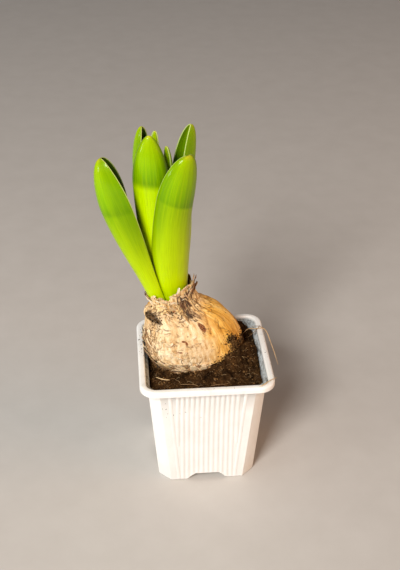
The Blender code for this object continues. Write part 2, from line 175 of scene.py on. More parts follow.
def addNode(kind, plugs=None, out=0, tree=None, **settings):
    # gives the node's output. Where no tree is given, it is the one that the node's wires are in
    links = [(key, one) for key, value in (plugs or {}).items()
             for one in (value if isinstance(value, list) else [value])]
    tree = tree or next(value.id_data for _, value in links if isWire(value))
    node = tree.nodes.new(kind)
    for name, value in settings.items():
        setattr(node, name, value)
    for key, value in links:
        if isWire(value):
            tree.links.new(value, node.inputs[key])
        else:
            node.inputs[key].default_value = value
    return node.outputs[out]


def maths(operation, first, second=0.0):
    return addNode("ShaderNodeMath", {0: first, 1: second}, operation=operation)


def plus(first, second):
    return maths("ADD", first, second)


def minus(first, second):
    return maths("SUBTRACT", first, second)


def times(first, second):
    return maths("MULTIPLY", first, second)


def roughen(value, grain, amount):  # the value, roughened by a grain from 0 to 1
    return plus(value, times(minus(grain, 0.5), amount))


def triple(x, y, z):
    return addNode("ShaderNodeCombineXYZ", {0: x, 1: y, 2: z})


def onePart(vector, part):
    return addNode("ShaderNodeSeparateXYZ", {0: vector}, part)


def noisy(place, scale, detail=3.0, roughness=0.5, distortion=0.0):
    return addNode("ShaderNodeTexNoise", {
        "Vector": place, "Scale": scale, "Detail": detail, "Roughness": roughness,
        "Distortion": distortion})


def step(value, low, high):  # 0 below low, 1 above high, smooth between
    return addNode("ShaderNodeMapRange", {"Value": value, "From Min": low, "From Max": high},
                   interpolation_type="SMOOTHSTEP")


def colours(value, stops):
    ramp = addNode("ShaderNodeValToRGB", {0: value})
    band = ramp.node.color_ramp
    while len(band.elements) < len(stops):
        band.elements.new(0.5)
    for element, (place, colour) in zip(band.elements, stops):
        element.position = place
        element.color = (*colour, 1.0)
    return ramp


def coat(under, cover, strength, colour):  # a colour over another, where the cover is 1
    def paint(value):
        return (*value, 1.0) if isinstance(value, tuple) else value
    share = cover if strength == 1 else times(cover, strength)
    return addNode("ShaderNodeMix", {0: share, 6: paint(under), 7: paint(colour)}, 2,
                   data_type="RGBA")


def mark(tree, name, out="Fac"):
    return addNode("ShaderNodeAttribute", None, out, tree, attribute_name=name)


def newMaterial(name, roughness=0.5, **plugs):
    material = bpy.data.materials.new(name)
    material.use_nodes = True
    tree = material.node_tree
    shader = tree.nodes["Principled BSDF"]
    shader.inputs["Roughness"].default_value = roughness
    for key, value in plugs.items():
        shader.inputs[key.replace("_", " ")].default_value = value
    return material, tree, addNode("ShaderNodeTexCoord", None, "Object", tree)


def paintWith(colour, rough=None, height=None, depth=0.0, strength=1.0):
    tree = colour.id_data
    shader = tree.nodes["Principled BSDF"]
    tree.links.new(colour, shader.inputs["Base Color"])
    if rough is not None:
        tree.links.new(rough, shader.inputs["Roughness"])
    if height is not None:
        relief = addNode("ShaderNodeBump", {
            "Height": height, "Distance": depth, "Strength": strength})
        tree.links.new(relief, shader.inputs["Normal"])


def newGeometryTree(name, numbers, **others):  # its inputs: names of numbers, and kinds by name
    tree = bpy.data.node_groups.new(name, "GeometryNodeTree")
    for way in ("INPUT", "OUTPUT"):
        tree.interface.new_socket("Geometry", in_out=way, socket_type="NodeSocketGeometry")
    for key, kind in {**dict.fromkeys(numbers.split(), "Float"), **others}.items():
        tree.interface.new_socket(key, in_out="INPUT", socket_type="NodeSocket" + kind)
    return tree, tree.nodes.new("NodeGroupInput").outputs


def finishTree(tree, geometry, material):
    painted = addNode("GeometryNodeSetMaterial", {"Geometry": geometry, "Material": material})
    tree.links.new(painted, tree.nodes.new("NodeGroupOutput").inputs[0])
    return tree


def runTree(obj, tree, **values):  # sets each named input by its identifier, then makes it mesh
    modifier = obj.modifiers.new(tree.name, "NODES")
    modifier.node_group = tree
    for item in tree.interface.items_tree:
        if item.in_out == "INPUT" and item.name in values:
            modifier[item.identifier] = values[item.name]
    return applied(obj)


# the pot, with its drain holes, arches and ribbed panels

potShape = dict(
    rimWidth=80 * mm, height=76.5 * mm, baseWidth=59.4 * mm, wallTopWidth=70.4 * mm,
    wall=1.1 * mm, cutBase=7.4 * mm, cutTop=6.5 * mm, wallRoundness=0.12,
    rimRadius=10 * mm, rimSkirt=3.8 * mm, rimReach=4 * mm, rimRoll=1.5 * mm, mouthRoll=1.0 * mm,
    cornerSteps=14, archFoot=27 * mm, archTop=13.6 * mm, archHeight=4.5 * mm, archSteps=12,
    drainRadius=2.6 * mm, drainOffset=12.4 * mm, centreDrain=4 * mm, drainSides=32,
)
ribShape = dict(
    Count=15, Pitch=3.0 * mm, Width=2.0 * mm, Height=0.23 * mm, PanelBase=34.8 * mm,
    PanelTop=45.6 * mm, Bottom=0.4 * mm,
)
shoulder = potShape["height"] - potShape["rimSkirt"] - 0.9 * mm


def squareRing(half, cut, roundness, height):
    ring = []
    for quarter in range(4):
        turn = Matrix.Rotation(quarter * pi / 2, 3, "Z")
        for i in range(potShape["cornerSteps"] + 1):
            share = i / potShape["cornerSteps"]
            angle = share * pi / 2
            flat = Vector((half - cut * share, half - cut * (1 - share), 0))
            arc = Vector((half - cut * (1 - cos(angle)), half - cut * (1 - sin(angle)), 0))
            point = turn @ flat.lerp(arc, roundness)
            ring.append((point.x, point.y, height))
    return ring


def wallHalf(height):
    share = height / (potShape["height"] - potShape["rimSkirt"])
    return between(potShape["baseWidth"], potShape["wallTopWidth"], share) / 2


def wallCut(height):
    return between(potShape["cutBase"], potShape["cutTop"], height / potShape["height"])


def cupRings():  # up the outside, over the rim and down the inside to the floor
    top, skirt, flat = potShape["height"], potShape["rimSkirt"], potShape["wallRoundness"]
    rim, radius = potShape["rimWidth"] / 2, potShape["rimRadius"]
    mouth, mouthRadius = rim - potShape["rimReach"], radius - potShape["rimReach"]
    rows = [(wallHalf(0) - inset * mm, wallCut(0), flat, height * mm)
            for inset, height in ((0.4, 0.0), (0.1, 0.15), (0.0, 0.5))]
    rows += [(wallHalf(shoulder * share), wallCut(shoulder * share), flat, shoulder * share)
             for share in (0.25, 0.5, 0.75, 1.0)]
    rows += [(mouth + out * mm, mouthRadius + out * mm, roundness, top - drop * mm)
             for out, roundness, drop in ((0.9, 0.8, 2.5), (1.2, 1.0, 1.5))]
    # the skirt's inside, its lower edge and the foot of its outside
    edge = skirt / mm
    rows += [(rim - inset * mm, radius - inset * mm, 1.0, top - drop * mm) for inset, drop in (
        (1.6, 1.3), (1.0, 2.0), (0.9, edge), (0.2, edge), (0.0, edge - 0.25))]
    for i in range(7):  # the rim's rolled top
        turn, roll = i / 6 * pi / 2, potShape["rimRoll"]
        inset = roll * (1 - cos(turn))
        rows.append((rim - inset, radius - inset, 1.0, top - roll * (1 - sin(turn))))
    for i in range(5):  # and down into the mouth
        turn, roll = i / 4 * pi / 2, potShape["mouthRoll"]
        out = roll * (1 - sin(turn))
        rows.append((mouth + out, mouthRadius + out, 1.0, top - roll * (1 - cos(turn))))
    wall = potShape["wall"]
    rows += [(mouth, mouthRadius, 0.9, top - 2.6 * mm),
             (wallHalf(shoulder) - wall, wallCut(shoulder), flat, shoulder),
             (wallHalf(wall) - wall, wallCut(0), flat, wall + 0.1 * mm)]
    return [squareRing(*row) for row in rows]


def archPrism(name, grow, halfLength, drop):  # two arch-shaped bars that cross under the floor
    foot, crown = potShape["archFoot"] / 2 + grow, potShape["archTop"] / 2 + grow
    right = []
    for i in range(potShape["archSteps"] + 1):
        share = i / potShape["archSteps"]
        right.append((between(foot, crown, share), (potShape["archHeight"] + grow) * ease(share)))
    outline = right + [(-across, height) for across, height in reversed(right)]
    outline = [(across, height if height > 0 else -drop) for across, height in outline]
    bars = []
    for turn in (0.0, pi / 2):
        rings = [[(across, end * halfLength, height) for across, height in outline]
                 for end in (-1, 1)]
        mesh = gridMesh(name, [rings])
        mesh.transform(Matrix.Rotation(turn, 4, "Z"))
        bars.append(newObject(name, turnOut(mesh), onAxis=False))
    cutOrJoin(bars[0], "UNION", bars[1])
    return bars[0]


def ribTree():
    tree, given = newGeometryTree(
        "potRibs", "Pitch Width Height PanelBase PanelTop Bottom Top ArchFoot ArchCrown"
        " ArchHeight WallBase WallTop", Count="Int", Plastic="Material")
    half, halfTop = (times(given[key], 0.5) for key in ("PanelBase", "PanelTop"))
    widen = minus(halfTop, half)
    leanOut = minus(given["WallTop"], given["WallBase"])
    lean, slant = (maths("ARCTAN2", reach, given["Top"]) for reach in (leanOut, widen))
    bar = addNode("GeometryNodeMeshCylinder", {"Vertices": 14, "Radius": 1.0, "Depth": 1.0},
                  "Mesh", tree)

    def ribs(points, offset, start, turn, keep):
        middle = times(plus(start, given["Top"]), 0.5)
        share = maths("DIVIDE", middle, given["Top"])
        out = plus(given["WallBase"], times(leanOut, share))
        moved = addNode("GeometryNodeSetPosition", {
            "Geometry": points, "Position": triple(out, offset, middle)})
        size = triple(given["Height"], times(given["Width"], 0.5), minus(given["Top"], start))
        return addNode("GeometryNodeInstanceOnPoints", {
            "Points": moved, "Selection": keep, "Instance": bar,
            "Rotation": triple(turn, lean, 0.0), "Scale": size})

    index = addNode("GeometryNodeInputIndex", tree=tree)
    row = addNode("GeometryNodeMeshLine", {"Count": given["Count"]})
    middleIndex = times(minus(given["Count"], 1.0), 0.5)
    offset = times(minus(index, middleIndex), given["Pitch"])
    away = maths("ABSOLUTE", offset)
    # a rib near the panel's slanted edge starts where that edge lets it
    reach = plus(away, times(given["Width"], 0.8))
    edgeShare = maths("DIVIDE", minus(reach, half), widen)
    edgeStart = times(edgeShare, given["Top"])
    archShare = step(away, given["ArchFoot"], given["ArchCrown"])
    archStart = plus(times(archShare, given["ArchHeight"]), 0.3 * mm)
    start = maths("MAXIMUM", maths("MAXIMUM", edgeStart, archStart), given["Bottom"])
    upright = ribs(row, offset, start, 0.0, maths("LESS_THAN", edgeShare, 0.9))
    # the panel's two slanted edges
    pair = addNode("GeometryNodeMeshLine", {"Count": 2}, tree=tree)
    side = minus(times(index, 2.0), 1.0)
    across = times(side, times(plus(half, halfTop), 0.5))
    turn = times(times(side, slant), -1.0)
    edges = ribs(pair, across, given["Bottom"], turn, True)
    panel = addNode("GeometryNodeJoinGeometry", {0: [upright, edges]})
    sides = addNode("GeometryNodeMeshLine", {"Count": 4, "Offset": (0, 0, 0)}, tree=tree)
    onPot = addNode("GeometryNodeInstanceOnPoints", {
        "Points": sides, "Instance": panel, "Rotation": triple(0.0, 0.0, times(index, pi / 2))})
    real = addNode("GeometryNodeRealizeInstances", {0: onPot})
    whole = addNode("GeometryNodeJoinGeometry", {0: [real, given["Geometry"]]})
    return finishTree(tree, whole, given["Plastic"])


def potPlastic():
    material, tree, place = newMaterial(
        "potPlastic", Subsurface_Weight=0.08, Subsurface_Radius=(0.8, 0.7, 0.6),
        Subsurface_Scale=0.002)
    stain = noisy(place, 60.0, 4.0, 0.6)
    colour = colours(stain, [(0.3, (0.80, 0.785, 0.745)), (0.7, (0.86, 0.85, 0.82))])
    # peat dust on the rim and down the inside of the mouth
    top = potShape["height"]
    dusty = step(onePart(place, 2), top - 9 * mm, top - 1 * mm)
    dust = step(noisy(place, 900.0, 5.0, 0.75), 0.63, 0.72)
    smear = times(step(noisy(place, 160.0, 4.0, 0.6), 0.52, 0.75), 0.35)
    dusted = times(maths("MAXIMUM", dust, smear), dusty)
    colour = coat(colour, dusted, 0.55, (0.16, 0.11, 0.07))
    # painted shade: the wall inside the mouth is darkened to a cool blue grey, and smeared with
    # peat
    innerShadeAndSmear = colours(noisy(place, 500.0, 5.0, 0.7), [
        (0.40, (0.09, 0.085, 0.075)), (0.50, (0.33, 0.37, 0.38)), (0.70, (0.50, 0.54, 0.55))])
    colour = coat(colour, mark(tree, "innerShadeAndSmear"), 0.9, innerShadeAndSmear)
    paintWith(colour, plus(times(stain, 0.16), 0.36), noisy(place, 500.0, 3.0), 0.08 * mm, 0.5)
    return material


def isInside(spot):  # of the cup, as against its outer faces
    if spot.z > shoulder + 0.1 * mm:
        half, cut = potShape["rimWidth"] / 2 - potShape["rimReach"] + 0.4 * mm, 0.0
    else:
        half, cut = wallHalf(spot.z) - 0.5 * potShape["wall"], wallCut(spot.z)
    x, y = abs(spot.x), abs(spot.y)
    return max(x, y) < half and x + y < 2 * half - cut


def makePot():
    cup = newObject("squarePot", gridMesh("squarePot", [cupRings()]), onAxis=False)
    wall, offset, sides = potShape["wall"], potShape["drainOffset"], potShape["drainSides"]
    cutOrJoin(cup, "UNION", archPrism("bridge", wall, wallHalf(0) - 0.5 * wall, 0.0))
    cutOrJoin(cup, "DIFFERENCE", archPrism("channel", 0.0, potShape["rimWidth"], 2 * mm))
    drains = [(potShape["centreDrain"], 0.0, 0.0)]
    drains += [(potShape["drainRadius"], x * offset, y * offset)
               for x in (-1, 1) for y in (-1, 1)]
    for radius, x, y in drains:
        turns = [2 * pi * i / sides for i in range(sides)]
        drill = [[(x + radius * cos(turn), y + radius * sin(turn), z) for turn in turns]
                 for z in (-10 * mm, 10 * mm)]
        cutOrJoin(cup, "DIFFERENCE", newObject("drain", gridMesh("drain", [drill]), onAxis=False))
    plastic = potPlastic()
    runTree(cup, ribTree(), Top=potShape["height"] - potShape["rimSkirt"] - 1.6 * mm,
            ArchFoot=potShape["archFoot"] / 2, ArchCrown=potShape["archTop"] / 2,
            ArchHeight=potShape["archHeight"], WallBase=wallHalf(0),
            WallTop=wallHalf(shoulder), Plastic=plastic, **ribShape)
    # the inner wall below the lip takes the painted cool shade and the peat smears
    lip = potShape["height"] - 2 * mm
    storeMarks(cup.data, dict(innerShadeAndSmear=[1.0 if spot.co.z < lip and isInside(spot.co) else 0.0
                                    for spot in cup.data.vertices]))
    cup.data.transform(Matrix.Translation(potAxis))
    showPiece(cup, plastic, "white_plastic", "pot", sharp=35)


# the bulb: a belly and neck from sections, with folds, cracks and torn paper

bulbShape = dict(
    # height, centre x, centre y, half width in x, half width in y, in mm
    sections=((45.0, -2.0, 11.0, 7.0, 6.5), (46.5, -2.2, 11.0, 13.0, 11.5),
              (51.0, -2.8, 11.0, 21.5, 17.0), (59.0, -3.2, 11.0, 27.0, 21.0),
              (70.0, -3.4, 11.1, 29.1, 22.5), (77.5, -4.8, 11.2, 30.4, 22.7),
              (85.0, -5.9, 11.2, 29.6, 22.0), (93.0, -7.6, 11.2, 27.1, 20.4),
              (100.0, -10.4, 11.5, 23.2, 18.2), (103.0, -13.4, 11.8, 20.2, 16.8),
              (106.0, -15.6, 11.8, 16.8, 15.2), (108.5, -16.9, 11.7, 15.2, 14.4),
              (112.0, -18.2, 11.4, 14.5, 14.2), (116.0, -19.2, 11.0, 14.2, 14.2),
              (124.0, -19.8, 10.8, 14.0, 14.0)),
    # compass angle and height of the neck's torn edge, in degrees and mm
    edge=((0, 119.5), (30, 118), (90, 117), (150, 115), (180, 114.2), (205, 113.8), (218, 116.2),
          (240, 116), (255, 114.4), (266, 117), (276, 119.5), (290, 121.5), (310, 122.3),
          (335, 121.5), (360, 119.5)),
    # height and compass angle where the cream paper ends and the amber lobe begins
    amberEdge=((64, 300), (84, 304), (93, 303), (99.7, 307), (103.7, 321), (108, 346)),
    sides=450, buriedRings=12, ringStep=0.33 * mm, soilLine=64 * mm, neckFoot=104 * mm,
    top=115 * mm, wrinkleDepth=1.1 * mm, wrinkleCount=11,
    swellLeft=0.10, hollowRight=0.07, bellyBottom=50 * mm, bellyTop=92 * mm,
    veinDepth=0.20 * mm, layerDepth=0.42 * mm, pitDepth=0.14 * mm, foldDepth=0.95 * mm,
    creaseDepth=0.55 * mm, lobeCrease=0.9 * mm, rippleDepth=0.22 * mm, soilDepth=1.0 * mm,
    ragged=1.1 * mm, paper=0.35 * mm,
    insideRings=((113 * mm, 1.3 * mm), (109.5 * mm, 1.6 * mm), (106 * mm, 1.9 * mm)),
    hollowFloor=(-17 * mm, 12 * mm, 12.6 * mm, 12 * mm), floorHeight=102.6 * mm,
)
# patches: compass angle and height of the middle, half width round and up. A bulge also has how
# far out it goes
bulbPatches = dict(
    bulge=((206, 101.6, 15, 2.4, 2.0), (212, 106.4, 24, 1.5, -0.9), (240, 104.6, 20, 1.2, -0.6),
           (262, 103.0, 16, 1.4, 0.5), (228, 98.6, 18, 1.2, -0.6), (285, 105.5, 10, 2.0, 0.6),
           (168, 105.0, 26, 2.6, -2.0), (172, 99.6, 24, 2.6, 1.7), (222, 95.6, 16, 1.0, 0.6)),
    neckGrime=((206, 102.2, 12, 3.2), (216, 101.8, 11, 3.4), (225, 100.6, 9, 2.8)),
    grime=((297, 112.0, 9, 6.0), (291, 105.5, 6, 2.4), (182, 112.5, 22, 2.2),
           (289, 101.8, 1.9, 0.9), (293.5, 102.2, 1.7, 0.8), (262, 106.6, 9, 1.1),
           (205, 70.0, 26, 3.0), (182, 76.0, 24, 7.0), (219, 72.3, 14, 1.7),
           (240, 70.4, 18, 1.0), (60, 74.0, 30, 5.0), (110, 95.0, 20, 3.5)),
    soil=((327, 84.5, 8, 4.0), (330, 79.5, 11, 3.2), (314, 75.0, 12, 2.6), (300, 72.4, 14, 1.6),
          (345, 80.0, 12, 3.6), (232, 68.2, 26, 1.2)),
    peel=((198, 83.0, 19, 13.0), (226, 72.0, 26, 4.6), (258, 70.6, 32, 2.2),
          (100, 82.0, 22, 9.0), (150, 90.0, 14, 8.0)),
    pale=((238, 83.0, 18, 7.0), (262, 76.0, 22, 4.0), (282, 88.0, 10, 8.0)),
    fold=((224, 96.5, 15, 2.6), (250, 84.0, 8, 1.4), (262, 100.0, 20, 1.6)),
    scar=((290.5, 97.8, 5.4, 3.5), (259.0, 90.5, 3.4, 0.8), (262, 89.2, 1.7, 1.6),
          (252, 83.2, 4.8, 0.5), (267, 108.4, 4, 1.0), (301, 99.0, 1.0, 0.6),
          (150, 88.0, 4.0, 1.2), (70, 90.0, 5.0, 1.5)),
)
# cracks that wander over the skin. Each group: how many, the compass angles and heights that they
# start in, their length in mm, and their heading in degrees (0 round the bulb, 90 up it) and how
# much that varies
crackShape = dict(seed=11, stride=0.3, wide=0.50, deep=0.32 * mm, wiggle=9, groups=(
    (44, (212, 234), (74, 95), (3, 11), 80, 20), (34, (184, 212), (74, 98), (4, 13), 80, 22),
    (80, (212, 286), (69.5, 74.5), (4, 12), -2, 13), (14, (206, 236), (93, 99), (5, 9), -18, 10),
    (42, (215, 296), (101.0, 107.0), (3, 8), 0, 20), (60, (0, 360), (106, 113), (2, 7), 85, 20),
    (20, (236, 300), (75, 100), (1.2, 4.0), 20, 55), (14, (302, 345), (80, 103), (6, 16), 105, 12),
    (70, (0, 184), (71, 101), (3, 12), 85, 25)))


def crackMap():  # how deep in a crack the points of the skin's grid lie, by ring and side
    rng = random.Random(crackShape["seed"])
    stride, wide, sides = crackShape["stride"], crackShape["wide"], bulbShape["sides"]
    line, ringStep = bulbShape["soilLine"] / mm, bulbShape["ringStep"] / mm
    depths = {}
    for count, angles, heights, lengths, heading, spread in crackShape["groups"]:
        for i in range(count):
            angle, height = radians(rng.uniform(*angles)), rng.uniform(*heights)
            way = radians(rng.gauss(heading, spread) + 180 * rng.randint(0, 1))
            strides = round(rng.uniform(*lengths) / stride)
            dark = rng.uniform(0.45, 1.15)
            for k in range(strides):
                way += radians(rng.gauss(0, crackShape["wiggle"]))
                radius = bulbFrame(angle, height * mm)[1][2] / mm
                angle += cos(way) * stride / radius
                height += sin(way) * stride
                strength = dark * sin(pi * (k + 1) / (strides + 1)) ** 0.5
                column, row = angle / (2 * pi) * sides, (height - line) / ringStep
                for r in range(int(row) - 1, int(row) + 3):
                    for c in range(int(column) - 1, int(column) + 3):
                        away = hypot((c - column) * 2 * pi * radius / sides, (r - row) * ringStep)
                        value = strength * max(0.0, 1 - away / wide)
                        depths[r, c % sides] = max(value, depths.get((r, c % sides), 0.0))
    return depths


def patchAt(angle, height, degrees, middle, wide, tall):
    around = bump(angle, radians(degrees), radians(wide))
    return around * exp(-(((height / mm - middle) / tall) ** 2))


def inPatch(angle, height, *kinds):
    return max(patchAt(angle, height, *patch) for kind in kinds for patch in bulbPatches[kind])


def bulbSwell(angle, height):
    low, high = bulbShape["bellyBottom"], bulbShape["bellyTop"]
    belly = rise(height, low, low + 12 * mm) * (1 - rise(height, high, high + 14 * mm))
    return belly * (bulbShape["swellLeft"] * bump(angle, radians(228), radians(29))
                    - bulbShape["hollowRight"] * bump(angle, radians(312), radians(26)))


def wrinkles(angle, height):  # the creases that run from the neck down the tunic
    sway = 0.5 * noiseAt(cos(angle) * 1.3, sin(angle) * 1.3, height / (22 * mm))
    crease = (0.5 + 0.5 * sin(bulbShape["wrinkleCount"] * angle + 5 * sway + 40 * height)) ** 2
    patch = 0.5 + 0.5 * noiseAt(cos(angle) * 2.1, sin(angle) * 2.1, height / (9 * mm))
    return (0.35 + 0.65 * ease((height - 62 * mm) / (30 * mm))) * crease * patch


def pastAmberEdge(angle, height):  # in radians round the bulb, negative on the cream side
    edge = readRows(bulbShape["amberEdge"], height / mm)[0]
    edge += 7 * noiseAt(0, 0, height, 5 * mm)
    return (angle - radians(edge) + pi) % (2 * pi) - pi


def amberShare(angle, height):  # the smooth orange lobes at the right and round the back
    right = rise(pastAmberEdge(angle, height), -0.80, 0.45)
    left = rise(radians(172) - (angle + pi / 2) % (2 * pi) + pi / 2, -0.2, 0.3)
    return right if angle > pi else left


def crumpledShare(angle, height, amber):  # where the outer paper is torn and crumpled
    h = height / mm
    flank = bump(angle, radians(213), radians(17)) * (1 - rise(h, 98, 102))
    foot = (1 - rise(h + 3 * noiseAt(cos(angle) * 3, sin(angle) * 3, 0), 72, 76.5))
    return max(0.12, rise(h, 100.0, 103.5), 0.9 * flank, foot * (1 - 0.7 * amber),
               inPatch(angle, height, "fold"))


def skinRelief(angle, height):
    # fine form on top of the creases. Returns the offset, how deep in the paper layers the point
    # lies from 0 on top to 1, and how far down a crease it is, where painted shade darkens it
    x, y, h = cos(angle), sin(angle), height / mm
    amber = amberShare(angle, height)
    paper = 1 - 0.75 * amber
    crumpled = crumpledShare(angle, height, amber)
    vein = 1 - abs(noiseAt(x * 22, y * 22, h / 16)) * 3.0
    # folds puff up between sharp creases: long ones round the bulb, short ones all ways
    longFold = abs(noiseAt(x * 5 + 3, y * 5, h / 2.1) + 0.35 * noiseAt(x * 14, y * 14, h / 1.5))
    shortFold = abs(noiseAt(x * 15, y * 15 + 7, h / 2.3))
    puff = min(1.0, longFold / 0.42) + 0.45 * min(1.0, shortFold / 0.4)
    gap = max(1 - longFold / 0.10, 0.9 * (1 - shortFold / 0.085), 0.0)
    gap *= crumpled * rise(noiseAt(x * 4, y * 4, h / 4 + 20), -0.28, 0.02)
    layer = 0.0
    for k, threshold in enumerate((0.02, 0.16, 0.30)):
        field = (noiseAt(x * 5 + k * 9, y * 5, h / 7.5)
                 + 0.45 * noiseAt(x * 17, y * 17 + k * 5, h / 2.4)
                 + 0.45 * inPatch(angle, height, "peel"))
        layer += rise(field, threshold, threshold + 0.05) / 3
    pit = max(0.0, noiseAt(x * 30, y * 30, h / 1.1) - 0.25)
    lobe = exp(-((pastAmberEdge(angle, height) / 0.06) ** 2)) * (h > 78)
    offset = (bulbShape["veinDepth"] * max(0.0, vein) * (0.6 + 0.9 * amber)
              + bulbShape["rippleDepth"] * noiseAt(x * 11, y * 11, h / 3.1) * paper
              - bulbShape["layerDepth"] * layer * paper
              - bulbShape["pitDepth"] * 3 * pit * paper - bulbShape["lobeCrease"] * lobe
              + bulbShape["foldDepth"] * crumpled * (puff - 0.7) - bulbShape["creaseDepth"] * gap
              + bulbShape["soilDepth"] * inPatch(angle, height, "soil"))
    for *patch, out in bulbPatches["bulge"]:
        offset += out * mm * patchAt(angle, height, *patch)
    return offset, layer * paper, gap


def bulbFrame(angle, height):  # a point of the plain section, and the section's own numbers
    cx, cy, hx, hy = (value * mm for value in readRows(bulbShape["sections"], height / mm))
    swell = 1 + bulbSwell(angle, height)
    return (cx + hx * swell * cos(angle), cy + hy * swell * sin(angle)), (cx, cy, hx, hy)


def edgeHeight(angle):  # of the neck's torn edge
    degrees = (angle % (2 * pi)) * 180 / pi
    x, y = cos(angle), sin(angle)
    fine = noiseAt(x * 9, y * 9, 0) + 0.7 * noiseAt(x * 26, y * 26, 3)
    return readRows(bulbShape["edge"], degrees)[0] * mm + bulbShape["ragged"] * fine


def neckHeight(height, angle):  # the neck's rings rise and fall with its torn edge
    foot = bulbShape["neckFoot"]
    if height <= foot:
        return height
    stretch = (edgeHeight(angle) - foot) / (bulbShape["top"] - foot)
    return foot + (height - foot) * stretch


def bulbRing(height, inset, marks, kind, cracks, row):
    # kind is skin on the outside, edge on the torn rim and inside in the hollow
    ring = []
    outside = kind == "skin"
    for i in range(bulbShape["sides"]):
        angle = 2 * pi * i / bulbShape["sides"]
        here = neckHeight(height, angle)
        (x, y), _ = bulbFrame(angle, here)
        # the hollow's inside rings get a little of the painted crease shade
        offset, layer, gap = 0.0, 0.0, 0.3
        if kind != "inside":
            offset, layer, gap = skinRelief(angle, min(here, 112 * mm))
        crackAndShade = cracks.get((row, i), 0.0)
        depth = offset - inset - crackShape["deep"] * crackAndShade
        if outside:
            fade = 1 - rise(here, 104 * mm, 110 * mm)
            depth -= bulbShape["wrinkleDepth"] * wrinkles(angle, height) * fade
        ring.append((x + depth * cos(angle), y + depth * sin(angle), here))
        amber = amberShare(angle, here)
        values = dict(
            skin=(cos(angle) * 28 * mm, sin(angle) * 28 * mm, here * 0.3),
            amber=amber * (1 - rise(here, 106 * mm, 109 * mm)), layer=layer,
            crackAndShade=max(gap, crackAndShade), crumpled=crumpledShare(angle, here, amber),
            grime=inPatch(angle, here, "neckGrime", "grime", "soil") if outside else 0.35,
            peel=inPatch(angle, here, "peel") if outside else 0.6,
            scar=inPatch(angle, here, "scar"), pale=inPatch(angle, here, "pale"),
            loose=max(inPatch(angle, here, "soil") ** 1.5,
                      0.3 * inPatch(angle, here, "neckGrime") ** 2) if outside else 0.0)
        for name, value in values.items():
            marks.setdefault(name, []).append(value)
    return ring


def tunicPaper():
    material, tree, place = newMaterial("tunicPaper", 0.62, Specular_IOR_Level=0.3)
    skin = mark(tree, "skin", "Vector")
    streak = noisy(skin, 420.0, 5.0, 0.62)
    cloud = noisy(skin, 95.0, 3.0, 0.55)
    fine = noisy(place, 1500.0, 5.0, 0.7)
    spread = plus(times(streak, 0.6), times(cloud, 0.4))
    cream = colours(spread, [(0.32, (0.36, 0.19, 0.07)), (0.41, (0.60, 0.38, 0.17)),
                             (0.50, (0.76, 0.54, 0.29)), (0.62, (0.87, 0.71, 0.47))])
    amber = colours(spread, [(0.32, (0.30, 0.11, 0.008)), (0.42, (0.62, 0.29, 0.03)),
                             (0.53, (0.84, 0.49, 0.105)), (0.66, (0.93, 0.64, 0.22))])
    bleached = times(mark(tree, "pale"), step(streak, 0.38, 0.56))
    cream = coat(cream, bleached, 0.85, (0.91, 0.76, 0.51))
    patchy = step(roughen(mark(tree, "amber"), cloud, 0.8), 0.05, 0.95)
    colour = coat(cream, patchy, 1, amber)
    # the neck is a yellower brown
    height = onePart(place, 2)
    neck = step(roughen(height, cloud, 3.2 * mm), 103 * mm, 108 * mm)
    colour = coat(colour, neck, 0.75, colours(spread, [
        (0.34, (0.24, 0.11, 0.03)), (0.43, (0.70, 0.43, 0.15)), (0.54, (0.92, 0.70, 0.36))]))
    # bare layers under the peeled paper are duller and browner
    brown = colours(streak, [(0.32, (0.06, 0.028, 0.011)), (0.46, (0.24, 0.120, 0.046)),
                             (0.62, (0.52, 0.32, 0.145))])
    peeled = step(roughen(mark(tree, "peel"), cloud, 1.1), 0.35, 0.8)
    colour = coat(colour, peeled, 0.75, brown)
    colour = coat(colour, mark(tree, "layer"), 0.22, (0.40, 0.22, 0.09))
    # painted shade in thin cracks, broken up, and closer together where the paper is crumpled
    crumpled = times(mark(tree, "crumpled"), 0.14)
    broken = step(plus(noisy(place, 260.0, 2.0), crumpled), 0.55, 0.66)
    for scale, width, share in ((170.0, 0.014, 0.55), (330.0, 0.020, 0.8)):
        field = minus(noisy(skin, scale, 4.0, 0.6, 1.5), 0.5)
        line = minus(1.0, step(maths("ABSOLUTE", field), 0.0, width))
        colour = coat(colour, times(line, broken), share, (0.16, 0.07, 0.025))
    dots = addNode("ShaderNodeTexVoronoi", {"Vector": place, "Scale": 330.0}, "Distance")
    dot = minus(1.0, step(dots, 0.06, 0.18))
    some = step(onePart(dots.node.outputs["Color"], 0), 0.80, 0.84)
    colour = coat(colour, times(dot, some), 1, (0.05, 0.025, 0.012))
    # painted shade, dark brown down the creases and cracks, and a little in the neck's hollow
    gap = step(roughen(mark(tree, "crackAndShade"), fine, 0.9), 0.15, 0.85)
    colour = coat(colour, gap, 0.92, (0.080, 0.034, 0.012))
    scarred = step(roughen(mark(tree, "scar"), fine, 0.9), 0.40, 0.60)
    colour = coat(colour, scarred, 1, colours(fine, [
        (0.38, (0.03, 0.012, 0.006)), (0.56, (0.30, 0.10, 0.03)), (0.70, (0.45, 0.20, 0.08))]))
    dirt = noisy(place, 900.0, 6.0, 0.8)
    grimy = step(roughen(mark(tree, "grime"), dirt, 1.5), 0.34, 0.72)
    colour = coat(colour, grimy, 0.92, colours(dirt, [
        (0.42, (0.010, 0.006, 0.003)), (0.54, (0.045, 0.024, 0.011)),
        (0.66, (0.20, 0.11, 0.045))]))
    paintWith(colour, minus(0.74, times(patchy, 0.24)), plus(streak, times(fine, 0.6)), 0.4 * mm,
              0.7)
    return material


